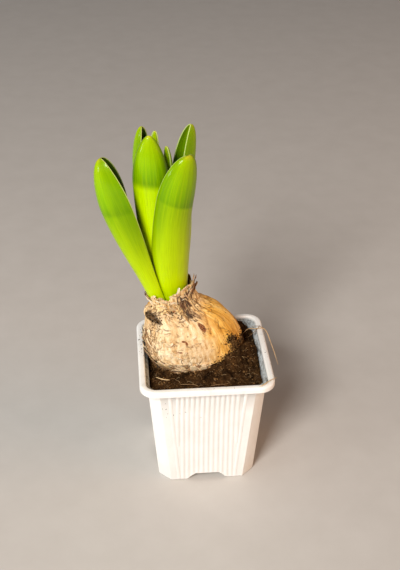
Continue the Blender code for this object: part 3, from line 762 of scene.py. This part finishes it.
def makeBulb(crumbs, crumbPeat):
    low, line, top = bulbShape["sections"][0][0] * mm, bulbShape["soilLine"], bulbShape["top"]
    buried, floorHeight = bulbShape["buriedRings"], bulbShape["floorHeight"]
    steps = round((top - line) / bulbShape["ringStep"])
    heights = [between(low, line, (i / buried) ** 1.4) for i in range(buried)]
    heights += [between(line, top, i / steps) for i in range(steps + 1)]
    marks, cracks = {}, crackMap()
    rings = [bulbRing(height, 0.0, marks, "skin", cracks, i - buried)
             for i, height in enumerate(heights)]
    rings.append(bulbRing(top, bulbShape["paper"], marks, "edge", {}, 0))
    for height, inset in bulbShape["insideRings"]:
        rings.append(bulbRing(height, inset, marks, "inside", {}, 0))
    # the hollow's floor has the marks of a ring at its height, and an outline of its own
    floor = bulbRing(floorHeight, 0.0, marks, "inside", {}, 0)
    x, y, halfX, halfY = bulbShape["hollowFloor"]
    turns = [2 * pi * i / len(floor) for i in range(len(floor))]
    rings.append([(x + halfX * cos(turn), y + halfY * sin(turn), floorHeight) for turn in turns])
    bulb = newObject("hyacinthBulb", gridMesh("hyacinthBulb", [rings], marks))
    scatterOn(bulb, "clingingSoil", crumbs, crumbPeat)
    showPiece(bulb, tunicPaper(), "bulb_tunic", "bulb")


# loose tunic paper round the neck and where the skin peels

flakeShape = dict(
    seed=5, across=7, along=9, thick=0.16 * mm,
    # the ranges of a flake's width in degrees, length in mm (negative hangs down), lift at the
    # tip and lean in degrees, and its tones, from 0 dark brown through 0.5 tan to 1 pale cream
    neck=(70, (9, 22), (2.0, 5.0), (0.2, 1.1), (-12, 12), (0.15, 0.45, 0.6, 0.7, 0.8, 0.95)),
    flap=(60, (2, 6), (-7, -2.5), (0.2, 1.0), (-5, 5), (0.0, 0.04, 0.1, 0.2, 0.35, 0.55)),
    peel=(60, (5, 12), (2.5, 6.0), (0.3, 0.9), (-14, 14), (0.3, 0.5, 0.6, 0.75)),
    bits=(16, (3, 8), (1.5, 4.0), (0.1, 0.45), (-10, 10), (0.55, 0.7, 0.8)),
    belowEdge=(1.5, 8.0), flapAngles=(286, 309), flapTops=(108, 121),
    bitAngles=(212, 270), bitHeights=(71, 94),
    # compass angle and height of the foot, width, length, lift, tone and lean of single ones
    single=((289, 118.5, 9, 6.5, 0.3, 1.0, 2), (333, 112.0, 14, 10.0, 1.6, 0.20, 4),
            (352, 116.0, 14, 9.5, 2.2, 0.22, 4), (2, 112.0, 15, 8.0, 2.8, 0.30, 0),
            (344, 118.0, 10, 9.5, 1.0, 0.35, 6), (188, 110.5, 16, 4.5, 1.2, 0.08, 0),
            (268, 108.0, 20, 4.0, 0.8, 0.55, 0), (246, 109.0, 12, 3.5, 0.9, 0.7, 6),
            (258, 104.5, 9, 2.5, 0.7, 0.7, -8), (236, 103.5, 10, 2.5, 0.7, 0.65, 8),
            (270, 104.5, 9, 3.0, 0.6, 0.6, -6)),
)


def flakeRows(angle, foot, wide, length, lift, lean, rng):
    curl = rng.uniform(-0.5, 1.0)
    phase = rng.uniform(0, 50)
    rows = []
    for j in range(flakeShape["along"]):
        v = j / (flakeShape["along"] - 1)
        row = []
        for i in range(flakeShape["across"]):
            u = 2 * i / (flakeShape["across"] - 1) - 1
            ragged = 1 - 0.45 * abs(noiseAt(u * 1.7, phase, 0)) * v
            narrow = 1 - 0.45 * v**2 + 0.25 * noiseAt(v * 2.5, phase, 5)
            a = angle + radians(u * wide / 2 * narrow + lean * v)
            height = (foot + length * v * ragged) * mm
            (x, y), _ = bulbFrame(a, height)
            off = 0.15 + lift * v**1.7 + 0.35 * curl * u * u * v
            off += 0.35 * noiseAt(u * 1.4, v * 1.8, phase) * v - 0.9 * (1 - v) ** 3
            row.append((x + off * mm * cos(a), y + off * mm * sin(a), height))
        rows.append(row)
    return rows


def flakePaper():
    material, tree, place = newMaterial("loosePaper", 0.7, Subsurface_Weight=0.1,
                                        Subsurface_Scale=0.001)
    grain = noisy(place, 900.0, 5.0, 0.65)
    colour = colours(roughen(mark(tree, "tone"), grain, 0.55), [
        (0.0, (0.07, 0.035, 0.018)), (0.25, (0.22, 0.11, 0.045)), (0.5, (0.56, 0.36, 0.17)),
        (0.75, (0.80, 0.60, 0.36)), (1.0, (0.92, 0.82, 0.62))])
    paintWith(colour, None, grain, 0.2 * mm, 0.5)
    return material


def makeFlakes():
    rng = random.Random(flakeShape["seed"])
    sheets, tones = [], []

    def addFlake(kind, angle, foot):
        *ranges, shades = flakeShape[kind][1:]
        sheets.append(flakeRows(angle, foot, *[rng.uniform(*ends) for ends in ranges], rng))
        tones.append(rng.choice(shades))

    for angle, foot, wide, length, lift, tone, lean in flakeShape["single"]:
        sheets.append(flakeRows(radians(angle), foot, wide, length, lift, lean, rng))
        tones.append(tone)
    neckCount = flakeShape["neck"][0]
    for i in range(neckCount):
        angle = 2 * pi * (i + rng.uniform(-0.4, 0.4)) / neckCount
        addFlake("neck", angle, edgeHeight(angle) / mm - rng.uniform(*flakeShape["belowEdge"]))
    for i in range(flakeShape["flap"][0]):
        addFlake("flap", radians(rng.uniform(*flakeShape["flapAngles"])),
                 rng.uniform(*flakeShape["flapTops"]))
    for i in range(flakeShape["peel"][0]):
        middle, height, wide, tall = rng.choice(bulbPatches["peel"])
        addFlake("peel", radians(rng.gauss(middle, wide * 0.5)),
                 height + rng.uniform(-tall, tall) * 0.7)
    for i in range(flakeShape["bits"][0]):
        addFlake("bits", radians(rng.uniform(*flakeShape["bitAngles"])),
                 rng.uniform(*flakeShape["bitHeights"]))
    each = flakeShape["along"] * flakeShape["across"]
    marks = dict(tone=[tone for tone in tones for k in range(each)])
    flakes = newObject("tunicFlakes", gridMesh("tunicFlakes", sheets, marks, closed=False))
    solid = flakes.modifiers.new("paper", "SOLIDIFY")
    solid.thickness, solid.offset = flakeShape["thick"], 1.0
    showPiece(applied(flakes), flakePaper(), "bulb_tunic")


# the soil, with its crumbs, lumps and fibres

soilShape = dict(
    level=70 * mm, rise=1.8 * mm, roughness=1.0 * mm, floor=1.5 * mm, gap=0.3 * mm,
    around=420, across=84, bedRings=8, biteIntoBulb=1.2 * mm, edgeDrop=0.8 * mm,
    # heaps: centre x, centre y, height and radius
    mounds=((16 * mm, -4 * mm, 5 * mm, 13 * mm), (20 * mm, 30 * mm, 7.5 * mm, 9 * mm),
            (27 * mm, 3 * mm, 5 * mm, 7 * mm), (29 * mm, -20 * mm, -2.5 * mm, 8 * mm)),
    lump=1.15 * mm, lumpSize=3.4 * mm, clod=0.8 * mm, clodSize=1.3 * mm, crumbRoughness=0.7,
)
# how many there would be on a square metre, the smallest and largest size, and the seed
looseBits = dict(
    peatCrumbs=(400000.0, 0.2 * mm, 0.8 * mm, 3), peatLumps=(16000.0, 0.8 * mm, 1.6 * mm, 8),
    peatFibres=(90000.0, 1.6 * mm, 5.5 * mm, 21),
    clingingSoil=(9000000.0, 0.2 * mm, 0.88 * mm, 4),
)


def soilHeight(x, y):
    clods = noiseAt(x, y, 0, 6.5 * mm) + 0.6 * noiseAt(x, y, 9 * mm, 2.9 * mm)
    height = (soilShape["level"] + soilShape["rise"] * x / (potShape["rimWidth"] / 2)
              + soilShape["roughness"] * clods)
    for centreX, centreY, up, radius in soilShape["mounds"]:
        height += up * exp(-((x - centreX) ** 2 + (y - centreY) ** 2) / radius**2)
    return height


def soilRelief(x, y):
    lump = abs(noiseAt(x, y, 4 * mm, soilShape["lumpSize"])) * 2 - 0.5
    clod = noiseAt(x, y, 7 * mm, soilShape["clodSize"])
    return soilShape["lump"] * lump + soilShape["clod"] * clod


def reachWall(centre, way, half, cut):  # how far from centre the pot's inner wall is
    reach = 1.0
    for nx, ny in ((1, 0), (-1, 0), (0, 1), (0, -1), (1, 1), (1, -1), (-1, 1), (-1, -1)):
        away = 2 * half - cut if nx and ny else half
        towards = nx * way.x + ny * way.y
        if towards > 1e-6:
            reach = min(reach, (away - nx * centre.x - ny * centre.y) / towards)
    return reach


def soilRings():  # from the pot's floor up its wall, in over the top and down the bulb
    low, base = soilShape["floor"], potShape["wall"] + soilShape["gap"]
    level, bite = soilShape["level"], soilShape["biteIntoBulb"]
    spokes = []
    for i in range(soilShape["around"]):
        angle = 2 * pi * i / soilShape["around"]
        (x, y), _ = bulbFrame(angle, level)
        (x, y), (cx, cy, _, _) = bulbFrame(angle, soilHeight(x, y))
        centre = Vector((cx, cy))
        way = Vector((x, y)) - centre
        spokes.append((angle, centre, way.normalized(), way.length - bite))
    half, cut = wallHalf(level) - base, wallCut(level)
    rings = []
    for height, wide, corner in ((low, wallHalf(low) - base, wallCut(low)),
                                 (level - 4 * mm, half - 0.3 * mm, cut)):
        spots = [centre + way * reachWall(centre, way, wide, corner)
                 for _, centre, way, _ in spokes]
        rings.append([(spot.x, spot.y, height) for spot in spots])
    for k in range(soilShape["across"] + 1):
        share = k / soilShape["across"]
        ring = []
        for _, centre, way, inner in spokes:
            outer = reachWall(centre, way, half, cut)
            spot = centre + way * between(outer, inner, share)
            height = soilHeight(spot.x, spot.y) + soilRelief(spot.x, spot.y)
            height -= soilShape["edgeDrop"] * (1 - rise(share * (outer - inner), 0.0, 1.2 * mm))
            ring.append((spot.x, spot.y, height))
        rings.append(ring)
    lowest = bulbShape["sections"][0][0] * mm
    innermost = rings[-1]
    for k in range(1, soilShape["bedRings"] + 1):
        ring = []
        share = k / soilShape["bedRings"]
        for (angle, centre, way, inner), edge in zip(spokes, innermost):
            height = between(edge[2] if k == 1 else level, lowest, share)
            (x, y), _ = bulbFrame(angle, height)
            inset = bite * (1 - share)
            ring.append((x - inset * cos(angle), y - inset * sin(angle), height - 0.3 * mm))
        rings.append(ring)
    return rings


def soilSkin(name, low, high, tinted):
    material, tree, place = newMaterial(name, 0.95, Specular_IOR_Level=0.05)
    grain = noisy(place, 700.0, 6.0, 0.75)
    cloud = noisy(place, 140.0, 4.0, 0.6)
    both = plus(times(grain, 0.4), times(cloud, 0.6))
    if tinted:
        both = plus(times(both, 0.65), times(mark(tree, "tone"), 0.35))
    middle = tuple(between(a, b, 0.30) for a, b in zip(low, high))
    paintWith(colours(both, [(0.36, low), (0.54, middle), (0.76, high)]), None, grain,
              0.4 * mm, 0.8)
    return material


def dice(tree, low, high, seed):  # random numbers, or triples
    if isinstance(low, tuple):
        return addNode("FunctionNodeRandomValue", {0: low, 1: high, "Seed": seed}, 0, tree,
                       data_type="FLOAT_VECTOR")
    return addNode("FunctionNodeRandomValue", {2: low, 3: high, "Seed": seed}, 1, tree,
                   data_type="FLOAT")


def scaled(vector, factor):
    return addNode("ShaderNodeVectorMath", {0: vector, "Scale": factor}, operation="SCALE")


def scatter(tree, given, piece, turn, size, toneSeed):
    # the piece on faces where the mark "loose" is set, each one with a tone of its own
    loose = addNode("GeometryNodeInputNamedAttribute", {"Name": "loose"}, tree=tree,
                    data_type="FLOAT")
    spots = addNode("GeometryNodeDistributePointsOnFaces", {
        "Mesh": given["Geometry"], "Seed": given["Seed"],
        "Density": times(given["Density"], loose)}, "Points")
    placed = addNode("GeometryNodeInstanceOnPoints", {
        "Points": spots, "Instance": piece, "Rotation": turn, "Scale": size})
    toned = addNode("GeometryNodeStoreNamedAttribute", {
        "Geometry": placed, "Name": "tone", "Value": dice(tree, 0.0, 1.0, toneSeed)},
        data_type="FLOAT", domain="INSTANCE")
    return addNode("GeometryNodeRealizeInstances", {0: toned})


def crumbTree():  # each crumb a small rough lump
    tree, given = newGeometryTree("scatteredCrumbs", "Density Small Large Rough", Seed="Int",
                                  Stuff="Material")
    seed = given["Seed"]
    crumb = addNode("GeometryNodeMeshIcoSphere", {"Radius": 1.0, "Subdivisions": 1}, tree=tree)
    spread = maths("POWER", dice(tree, 0.0, 1.0, seed), 2.2)
    wide = addNode("ShaderNodeMapRange", {
        "Value": spread, "To Min": given["Small"], "To Max": given["Large"]})
    sizes = scaled(dice(tree, (0.55, 0.55, 0.4), (1.0, 1.0, 0.9), seed), wide)
    turn = dice(tree, (0.0, 0.0, 0.0), (6.28, 6.28, 6.28), seed)
    real = scatter(tree, given, crumb, turn, sizes, 77)
    wander = addNode("ShaderNodeTexNoise", {"Scale": 1100.0, "Detail": 2.0}, 1, tree)
    shift = addNode("ShaderNodeVectorMath", {0: wander, 1: (0.5, 0.5, 0.5)}, operation="SUBTRACT")
    push = scaled(shift, times(given["Rough"], given["Large"]))
    rough = addNode("GeometryNodeSetPosition", {"Geometry": real, "Offset": push})
    return finishTree(tree, rough, given["Stuff"])


def fibreTree():  # short bent fibres that lie on the soil
    tree, given = newGeometryTree("peatFibres", "Density Small Large", Seed="Int",
                                  Stuff="Material")
    seed = given["Seed"]
    bend = addNode("GeometryNodeCurveQuadraticBezier", {
        "Resolution": 7, "Start": (-0.5, 0, -0.02), "Middle": (0.05, 0.45, 0.22),
        "End": (0.5, -0.1, 0.02)}, tree=tree)
    outline = addNode("GeometryNodeCurvePrimitiveCircle", {"Resolution": 3, "Radius": 0.013},
                      tree=tree)
    wire = addNode("GeometryNodeCurveToMesh", {
        "Curve": bend, "Profile Curve": outline, "Fill Caps": True})
    spin = dice(tree, (-0.5, -0.5, 0.0), (0.5, 0.5, 6.28), seed)
    size = scaled(dice(tree, (0.7, -1.0, 0.4), (1.0, 1.0, 1.8), 5),
                  dice(tree, given["Small"], given["Large"], seed))
    return finishTree(tree, scatter(tree, given, wire, spin, size, 31), given["Stuff"])


def strawFibre():
    material, tree, place = newMaterial("peatFibre", 0.75)
    shade = plus(mark(tree, "tone"), times(noisy(place, 500.0), 0.3))
    paintWith(colours(shade, [
        (0.25, (0.06, 0.028, 0.010)), (0.60, (0.22, 0.115, 0.045)), (0.90, (0.44, 0.27, 0.12)),
        (1.1, (0.62, 0.43, 0.22))]))
    return material


def scatterOn(base, name, tree, material):
    density, small, large, seed = looseBits[name]
    bits = newObject(name, base.data.copy(), onAxis=False)
    runTree(bits, tree, Density=density, Small=small, Large=large, Seed=seed,
            Rough=soilShape["crumbRoughness"], Stuff=material)
    showPiece(bits, material, "peat_soil")


def makeSoil(crumbs, crumbPeat, straw):
    rings = soilRings()
    top = range(2, soilShape["across"] + 3)  # the rings that lie open
    loose = [1.0 if r in top else 0.0 for r, ring in enumerate(rings) for spot in ring]
    soil = newObject("peatBed", gridMesh("peatBed", [rings], dict(loose=loose)), onAxis=False)
    grow = potShape["wall"] + soilShape["gap"]
    cutOrJoin(soil, "DIFFERENCE", archPrism("channelRoom", grow, potShape["rimWidth"], 2 * mm))
    soil.data.transform(Matrix.Translation(potAxis))
    scatterOn(soil, "peatCrumbs", crumbs, crumbPeat)
    scatterOn(soil, "peatLumps", crumbs, crumbPeat)
    scatterOn(soil, "peatFibres", fibreTree(), straw)
    peat = soilSkin("peat", (0.007, 0.003, 0.001), (0.120, 0.056, 0.018), False)
    showPiece(soil, peat, "peat_soil", "soil")


# loose fibres over the rim, and specks of peat on the pot

strayShape = dict(
    sides=7, stepsEach=7, seed=9,
    # radius at the middle, tone, and the places that the fibre passes, in mm round the pot's axis
    fibres=(
        (0.27, 0.80, ((27.5, 21.5, 73.5), (30.5, 22.3, 76.0), (34.8, 21.0, 77.0),
                      (39.8, 20.3, 77.4), (41.7, 15.9, 77.0), (43.0, 10.8, 74.4),
                      (44.5, 3.0, 71.4), (46.0, -5.0, 67.1))),
        (0.16, 0.55, ((31.0, 25.0, 74.0), (34.0, 23.5, 77.2), (38.5, 22.0, 77.6),
                      (40.6, 18.5, 77.2), (40.2, 14.0, 77.0))),
        (0.16, 0.45, ((29.5, 16.5, 73.6), (33.5, 18.5, 75.6), (36.6, 21.4, 77.0),
                      (38.2, 24.5, 77.0))),
        (0.26, 0.85, ((26.0, -35.5, 73.6), (31.2, -38.0, 77.0), (36.4, -34.2, 77.5),
                      (41.1, -31.0, 77.0))),
        (0.34, 1.0, ((-29.9, -18.8, 72.4), (-25.8, -22.3, 73.2), (-21.7, -22.5, 72.6))),
        (0.14, 0.6, ((-16.0, -26.5, 72.0), (-12.0, -28.5, 73.4), (-8.0, -28.0, 72.6),
                     (-5.0, -29.5, 72.2))),
        (0.14, 0.5, ((2.0, -29.0, 71.8), (6.0, -30.5, 73.6), (11.0, -29.5, 73.0),
                     (14.0, -27.0, 72.4)))),
    # specks: how many, the lowest and highest x, y and z, and the size. No y means on the front
    specks=((18, (-39.0, -36.4), (-2, 27), (76.3, 76.6), 0.42),
            (10, (36.6, 39.2), (-30, 28), (76.3, 76.6), 0.30),
            (9, (-34, 34), (-38.6, -36.6), (76.3, 76.6), 0.28),
            (20, (-28, -12), None, (46, 69), 0.34), (4, (-24, -14), None, (56, 60), 0.45),
            (1, (-4, -4), None, (52, 52), 0.45), (2, (14, 18), None, (3.6, 6), 0.4)),
    speckTone=0.35,
)


def fibreRings(radius, places):
    rows = [(float(i), *place) for i, place in enumerate(places)]
    last, sides = len(places) - 1, strayShape["sides"]
    count = strayShape["stepsEach"] * last

    def spotAt(share):
        return Vector(readRows(rows, min(max(share, 0.0), 1.0) * last)) * mm

    rings = []
    for i in range(count + 1):
        share = i / count
        spot, way = spotAt(share), (spotAt(share + 0.01) - spotAt(share - 0.01)).normalized()
        side = way.cross(Vector((0.3, 0.2, 1.0))).normalized()
        over = side.cross(way)
        thick = radius * mm * (0.35 + 0.65 * sin(pi * share) ** 0.5)
        thick *= 1 + 0.3 * noiseAt(share * 9, radius * 40, 0)
        turns = [2 * pi * k / sides for k in range(sides)]
        rings.append([spot + (side * cos(t) + over * sin(t)) * thick for t in turns])
    return rings


def addSpeck(bm, rng, xs, ys, zs, size):
    x, z = rng.uniform(*xs) * mm, rng.uniform(*zs) * mm
    y = rng.uniform(*ys) * mm if ys else -wallHalf(z)
    reach = size * mm * rng.uniform(0.5, 1.0)
    across, over = (1, 0.5) if ys else (0.5, 1)
    turn = Matrix.Rotation(rng.uniform(0, pi), 4, "Z" if ys else "Y")
    size = Matrix.Diagonal((reach, reach * across, reach * over * rng.uniform(0.6, 1.3), 1))
    ball = bmesh.ops.create_icosphere(bm, subdivisions=1, radius=1.0,
                                      matrix=Matrix.Translation((x, y, z)) @ turn @ size)
    for vert in ball["verts"]:
        vert.co += Vector((rng.uniform(-1, 1), 0.3 * rng.uniform(-1, 1),
                           rng.uniform(-1, 1))) * reach * 0.25


def makeStrays(straw, crumbPeat):
    grids = [fibreRings(radius, places) for radius, _, places in strayShape["fibres"]]
    tones = [tone for rings, (_, tone, _) in zip(grids, strayShape["fibres"])
             for ring in rings for spot in ring]
    mesh = turnOut(gridMesh("strayFibres", grids, dict(tone=tones)))
    showPiece(newObject("strayFibres", mesh), straw, "peat_soil")
    rng = random.Random(strayShape["seed"])
    bm = bmesh.new()
    for count, *speck in strayShape["specks"]:
        for i in range(count):
            addSpeck(bm, rng, *speck)
    mesh = bpy.data.meshes.new("peatSpecks")
    bm.to_mesh(mesh)
    bm.free()
    storeMarks(mesh, dict(tone=[strayShape["speckTone"]] * len(mesh.vertices)))
    showPiece(newObject("peatSpecks", mesh), crumbPeat, "peat_soil")


# the leaves: crescents in section, hooded at the tip

leafFoot = 103
leafShape = dict(across=36, along=130, tipStart=0.74, margin=0.6, ridge=0.05, ridges=15,
                 roundMargin=0.22, tipGrain=1.35, tipEnd=0.9988)
# path: four places from foot to tip, a third of the length apart, the first in the neck; faces:
# compass angle of the back at foot and tip; half and depth: half the width, and how deep the
# channel is, at the foot and above the neck; grow: share of the length where they are full;
# thick: at the midrib; full: the most that is of the depth; hood: how far the tip is drawn over
# to the back; point: how sharp it is. In millimetres and degrees. green: share of the length
# where the lime part ends; slope: how much further up that is at the margins; blur: how soft that
# line is; shade: how dark the lime part is just below it; inner: how much painted shade darkens
# the hollow side; paintedLight: painted light that lightens the lime of a leaf in the others'
# shade
anyLeaf = dict(grow=0.47, thick=2.4, full=0.85, point=0.5, green=0.6, slope=0.0, blur=0.02,
               shade=0.6, inner=0.6, paintedLight=1.0)
leaves = dict(
    leaf_left=dict(path=((-23, 8.6), (-32.7, 5.9, 138), (-39.5, 2.2, 172), (-50.6, 2, 208.9)),
                   faces=(222, 178), half=(6.5, 9), grow=0.80, depth=(4.9, 16.8), thick=2.6,
                   hood=6, green=0.725, shade=0.80, inner=0.95),
    leaf_front=dict(path=((-15.2, 10.8), (-18.8, 7.6, 138), (-17.2, 2.8, 174),
                          (-10.2, -3, 210.8)),
                    faces=(290, 300), half=(8.4, 11.9), depth=(6.2, 9.5), thick=2.6,
                    hood=3, point=0.46, green=0.725, slope=-0.040, blur=0.014),
    leaf_middle=dict(path=((-17.5, 11.4), (-23.8, 9.5, 140), (-28, 6.5, 178), (-29.2, 6.6, 218)),
                     faces=(268, 266), half=(5.5, 10.5), depth=(3, 7), thick=2.2, hood=2.5,
                     point=0.62, green=0.765, slope=-0.010, blur=0.030, shade=0.20, paintedLight=1.4),
    leaf_right_back=dict(path=((-11.3, 16.8), (-14.2, 16.8, 141), (-14.2, 18.5, 180),
                               (-8.4, 18, 218.3)),
                         faces=(45, 22), half=(4.2, 5.4), depth=(3.6, 11), hood=3.5, inner=0.3),
    leaf_left_back=dict(path=((-22.5, 18), (-26.5, 18, 141), (-30, 19, 180), (-30.2, 17, 217.2)),
                        faces=(130, 155), half=(5, 6.6), depth=(3.5, 8.4), hood=3, green=0.66,
                        inner=0.9),
    leaf_inner_back=dict(path=((-17.8, 17), (-23.5, 17.5, 141), (-26, 18, 180),
                               (-25.7, 18, 214.6)),
                         faces=(95, 80), half=(3, 3.3), depth=(2.5, 3.4), thick=6, full=1.4,
                         hood=0.5, point=0.4, inner=0.0),
    leaf_inner_right=dict(path=((-12, 13.2), (-17, 13.5, 141), (-18.5, 12.5, 178),
                                (-20, 11, 208.2)),
                          faces=(30, 40), half=(3, 3.4), depth=(2, 3), thick=6, full=1.6,
                          hood=0.5, point=0.4, inner=0.0),
)


def pathPoint(path, share):  # on the smooth curve that passes each path point at a third
    a, b, c, d = (Vector((*point, leafFoot)[:3]) * mm for point in path)
    first, second, last = share - 1 / 3, share - 2 / 3, share - 1
    return (a * (-4.5 * first * second * last) + b * (13.5 * share * second * last)
            + c * (-13.5 * share * first * last) + d * (4.5 * share * first * second))


def leafRing(leaf, share, marks):
    centre = pathPoint(leaf["path"], share)
    along = (pathPoint(leaf["path"], share + 0.01) - centre).normalized()
    facing = radians(between(*leaf["faces"], share))
    out = Vector((cos(facing), sin(facing), 0.0))
    out = (out - along * out.dot(along) * ease(share / 0.15)).normalized()
    side = Vector((-sin(facing), cos(facing), 0.0))
    closing = max(0.0, (share - leafShape["tipStart"]) / (1 - leafShape["tipStart"]))
    taper = (1 - closing**2) ** leaf["point"]
    centre = centre + out * leaf["hood"] * mm * (1 - taper)
    grown = ease(share / leaf["grow"])
    half, depth = (between(*leaf[key], grown) * taper * mm for key in ("half", "depth"))
    innerHalf = half - min(leafShape["margin"] * mm, 0.45 * half)
    innerDepth = depth - min(leaf["thick"] * mm, leaf["full"] * depth)
    turns = [pi * (i / leafShape["across"] - 0.5) for i in range(leafShape["across"] + 1)]
    ring = []

    def add(sideways, outwards, across, inside, edge=0.0):
        ring.append(tuple(centre + side * sideways + out * outwards))
        for name, value in zip(("along", "across", "inside", "edge"),
                               (share, across, inside, edge / mm)):
            marks.setdefault(name, []).append(value)

    def roundMargin(way, shares):  # between the back and the hollow side
        for k in shares:
            rounded = leafShape["roundMargin"] * mm * taper * sin(k * pi)
            add(way * between(half, innerHalf, k), -rounded, way, k)

    for turn in turns:
        ridge = leafShape["ridge"] * mm * cos(leafShape["ridges"] * turn) * ease(taper * 2 - 0.4)
        add(half * sin(turn), depth * cos(turn) + max(0.0, cos(turn)) * ridge, sin(turn), 0.0,
            hypot(half * (1 - abs(sin(turn))), depth * cos(turn)))
    roundMargin(1.0, (0.33, 0.67))
    for turn in reversed(turns):
        add(innerHalf * sin(turn), innerDepth * cos(turn), sin(turn), 1.0,
            hypot(innerHalf * (1 - abs(sin(turn))), innerDepth * cos(turn)))
    roundMargin(-1.0, (0.67, 0.33))
    return ring


def leafSkin(name, leaf):
    material, tree, place = newMaterial(
        name, 0.3, Subsurface_Weight=0.10, Subsurface_Radius=(0.5, 1.0, 0.05),
        Subsurface_Scale=0.0012, Specular_IOR_Level=0.10, Specular_Tint=(0.75, 1.0, 0.25, 1.0),
        Coat_Weight=0.16, Coat_Roughness=0.10)
    along, across, inside, edge = (
        mark(tree, key) for key in ("along", "across", "inside", "edge"))
    angle = maths("ARCSINE", across)

    def streaks(close, short, detail):  # fine lines that run up the leaf
        lines = triple(times(angle, close), times(along, short), inside)
        return noisy(lines, 1.0, detail, 0.6)

    vein, hair = streaks(11.0, 2.2, 3.0), streaks(38.0, 5.0, 2.0)
    # the upper part grew in the light: a line parts it from the lime part below
    bent = roughen(minus(along, times(across, leaf["slope"])), vein, 0.02)
    green, blur, paintedLight, shade = (leaf[key] for key in ("green", "blur", "paintedLight", "shade"))
    upper = step(bent, green - blur, green + 0.6 * blur)
    limes = ((0.0, 0.57, 0.76, 0.0), (0.28, 0.52, 0.71, 0.1), (0.50, 0.47, 0.65, 0.45),
             (green, 0.39, 0.57, 1.0))  # share of the length, red, green, share of the shade
    # the lime, lightened by the leaf's painted light where it lies in the others' shade
    lower = colours(along, [
        (share, (min(0.85, between(red * paintedLight, 0.165, shade * deep)),
                 min(0.90, between(high * paintedLight, 0.345, shade * deep)), 0.0))
        for share, red, high, deep in limes])
    tip = colours(along, [
        (green, (0.130, 0.285, 0.0)), (green + 0.06, (0.175, 0.365, 0.0)),
        (0.88, (0.230, 0.43, 0.0)), (0.985, (0.28, 0.43, 0.0)), (1.0, (0.46, 0.44, 0.02))])
    colour = coat(lower, upper, 1, tip)
    # light and dark streaks, painted shade where the back turns round to the margins, and clouds
    sides = times(step(maths("ABSOLUTE", across), 0.62, 1.0), step(along, 0.25, 0.70))
    cloud = noisy(place, 70.0, 3.0, 0.6)
    for cover, strength, paint in ((step(vein, 0.45, 0.66), 0.22, (0.50, 0.66, 0.0)),
                                   (step(hair, 0.50, 0.68), 0.30, (0.10, 0.22, 0.0)),
                                   (sides, 0.55, (0.085, 0.20, 0.0)),
                                   (step(cloud, 0.45, 0.8), 0.10, (0.12, 0.26, 0.001))):
        colour = coat(colour, cover, strength, paint)
    # painted shade on the hollow side, as dark as the leaf's inner share
    hollow = coat(colour, leaf["inner"], 1, (0.030, 0.075, 0.001))
    colour = coat(colour, step(inside, 0.8, 1.0), 1, hollow)
    # the thin pale margin, lightened also as a painted highlight along the edge, which fades out
    # lower down
    rim = times(minus(1.0, step(edge, 0.05, 0.35)), step(along, 0.35, 0.75))
    colour = coat(colour, rim, 0.55, (0.72, 0.80, 0.30))
    paintWith(colour, plus(times(vein, 0.20), 0.20), plus(vein, times(hair, 0.4)), 0.2 * mm, 0.4)
    return material


def makeLeaves():
    for name, changes in leaves.items():
        leaf = {**anyLeaf, **changes}
        marks, rings = {}, []
        for i in range(leafShape["along"] + 1):
            share = 1 - (1 - i / leafShape["along"]) ** leafShape["tipGrain"]
            rings.append(leafRing(leaf, min(share, leafShape["tipEnd"]), marks))
        mesh = turnOut(gridMesh(name, [rings], marks))
        skin = leafSkin(name + "Skin", leaf)
        showPiece(newObject(name.replace("_", "-"), mesh), skin, "leaf_green", name)


# the table, the light and the camera

lights = dict(
    key=dict(place=(-0.74, -1.38, 1.30), aim=0.09, energy=48, size=0.62,
             colour=(1.0, 0.965, 0.93)),
    leftPanel=dict(place=(-1.1, -0.38, 0.34), aim=0.15, energy=3.5, size=0.26,
                   colour=(1.0, 0.98, 0.95)),
    warmFill=dict(place=(1.62, -0.60, 0.62), aim=0.08, energy=14, size=1.3,
                  colour=(1.0, 0.50, 0.21)),
)
roomLight = dict(Color=(0.95, 0.96, 1.0, 1.0), Strength=0.16)
view = dict(lens=63.16, sensor=36, place=(-43.15, -498.44, 433.7),
            way=(0.07012, 0.84746, -0.52621))


def makeStage():
    material, tree, place = newMaterial("paleTable", 0.6)
    paintWith(colours(noisy(place, 40.0, 5.0, 0.6), [
        (0.3, (0.50, 0.475, 0.44)), (0.7, (0.53, 0.505, 0.47))]))
    rows = [[(x, y, -0.2 * mm) for x in (-3, 3)] for y in (-2, 5)]
    table = newObject("table", gridMesh("table", [rows], closed=False), onAxis=False)
    table.data.materials.append(material)


def placeAlong(name, data, place, way):  # a light or camera that looks along the way
    obj = bpy.data.objects.new(name, data)
    obj.location = place
    obj.rotation_mode = "QUATERNION"
    obj.rotation_quaternion = way.to_track_quat("-Z", "Y")
    bpy.context.scene.collection.objects.link(obj)
    return obj


def makeLights():
    for name, given in lights.items():
        light = bpy.data.lights.new(name, "AREA")
        light.energy, light.size, light.color = given["energy"], given["size"], given["colour"]
        place = Vector(given["place"])
        placeAlong(name, light, place, Vector((0, 0, given["aim"])) - place)
    world = bpy.data.worlds.new("softRoom")
    world.use_nodes = True
    for key, value in roomLight.items():
        world.node_tree.nodes["Background"].inputs[key].default_value = value
    bpy.context.scene.world = world
    bpy.context.scene.view_settings.view_transform = "Standard"


def makeCamera():
    camera = bpy.data.cameras.new("camera")
    camera.lens, camera.sensor_width = view["lens"], view["sensor"]
    place = Vector(view["place"]) * mm + potAxis
    bpy.context.scene.camera = placeAlong("camera", camera, place, Vector(view["way"]))


makeCamera()
makeStage()
makeLights()
crumbs = crumbTree()
crumbPeat = soilSkin("peatCrumb", (0.008, 0.0035, 0.001), (0.27, 0.140, 0.050), True)
straw = strawFibre()
makePot()
makeSoil(crumbs, crumbPeat, straw)
makeStrays(straw, crumbPeat)
makeBulb(crumbs, crumbPeat)
makeFlakes()
makeLeaves()
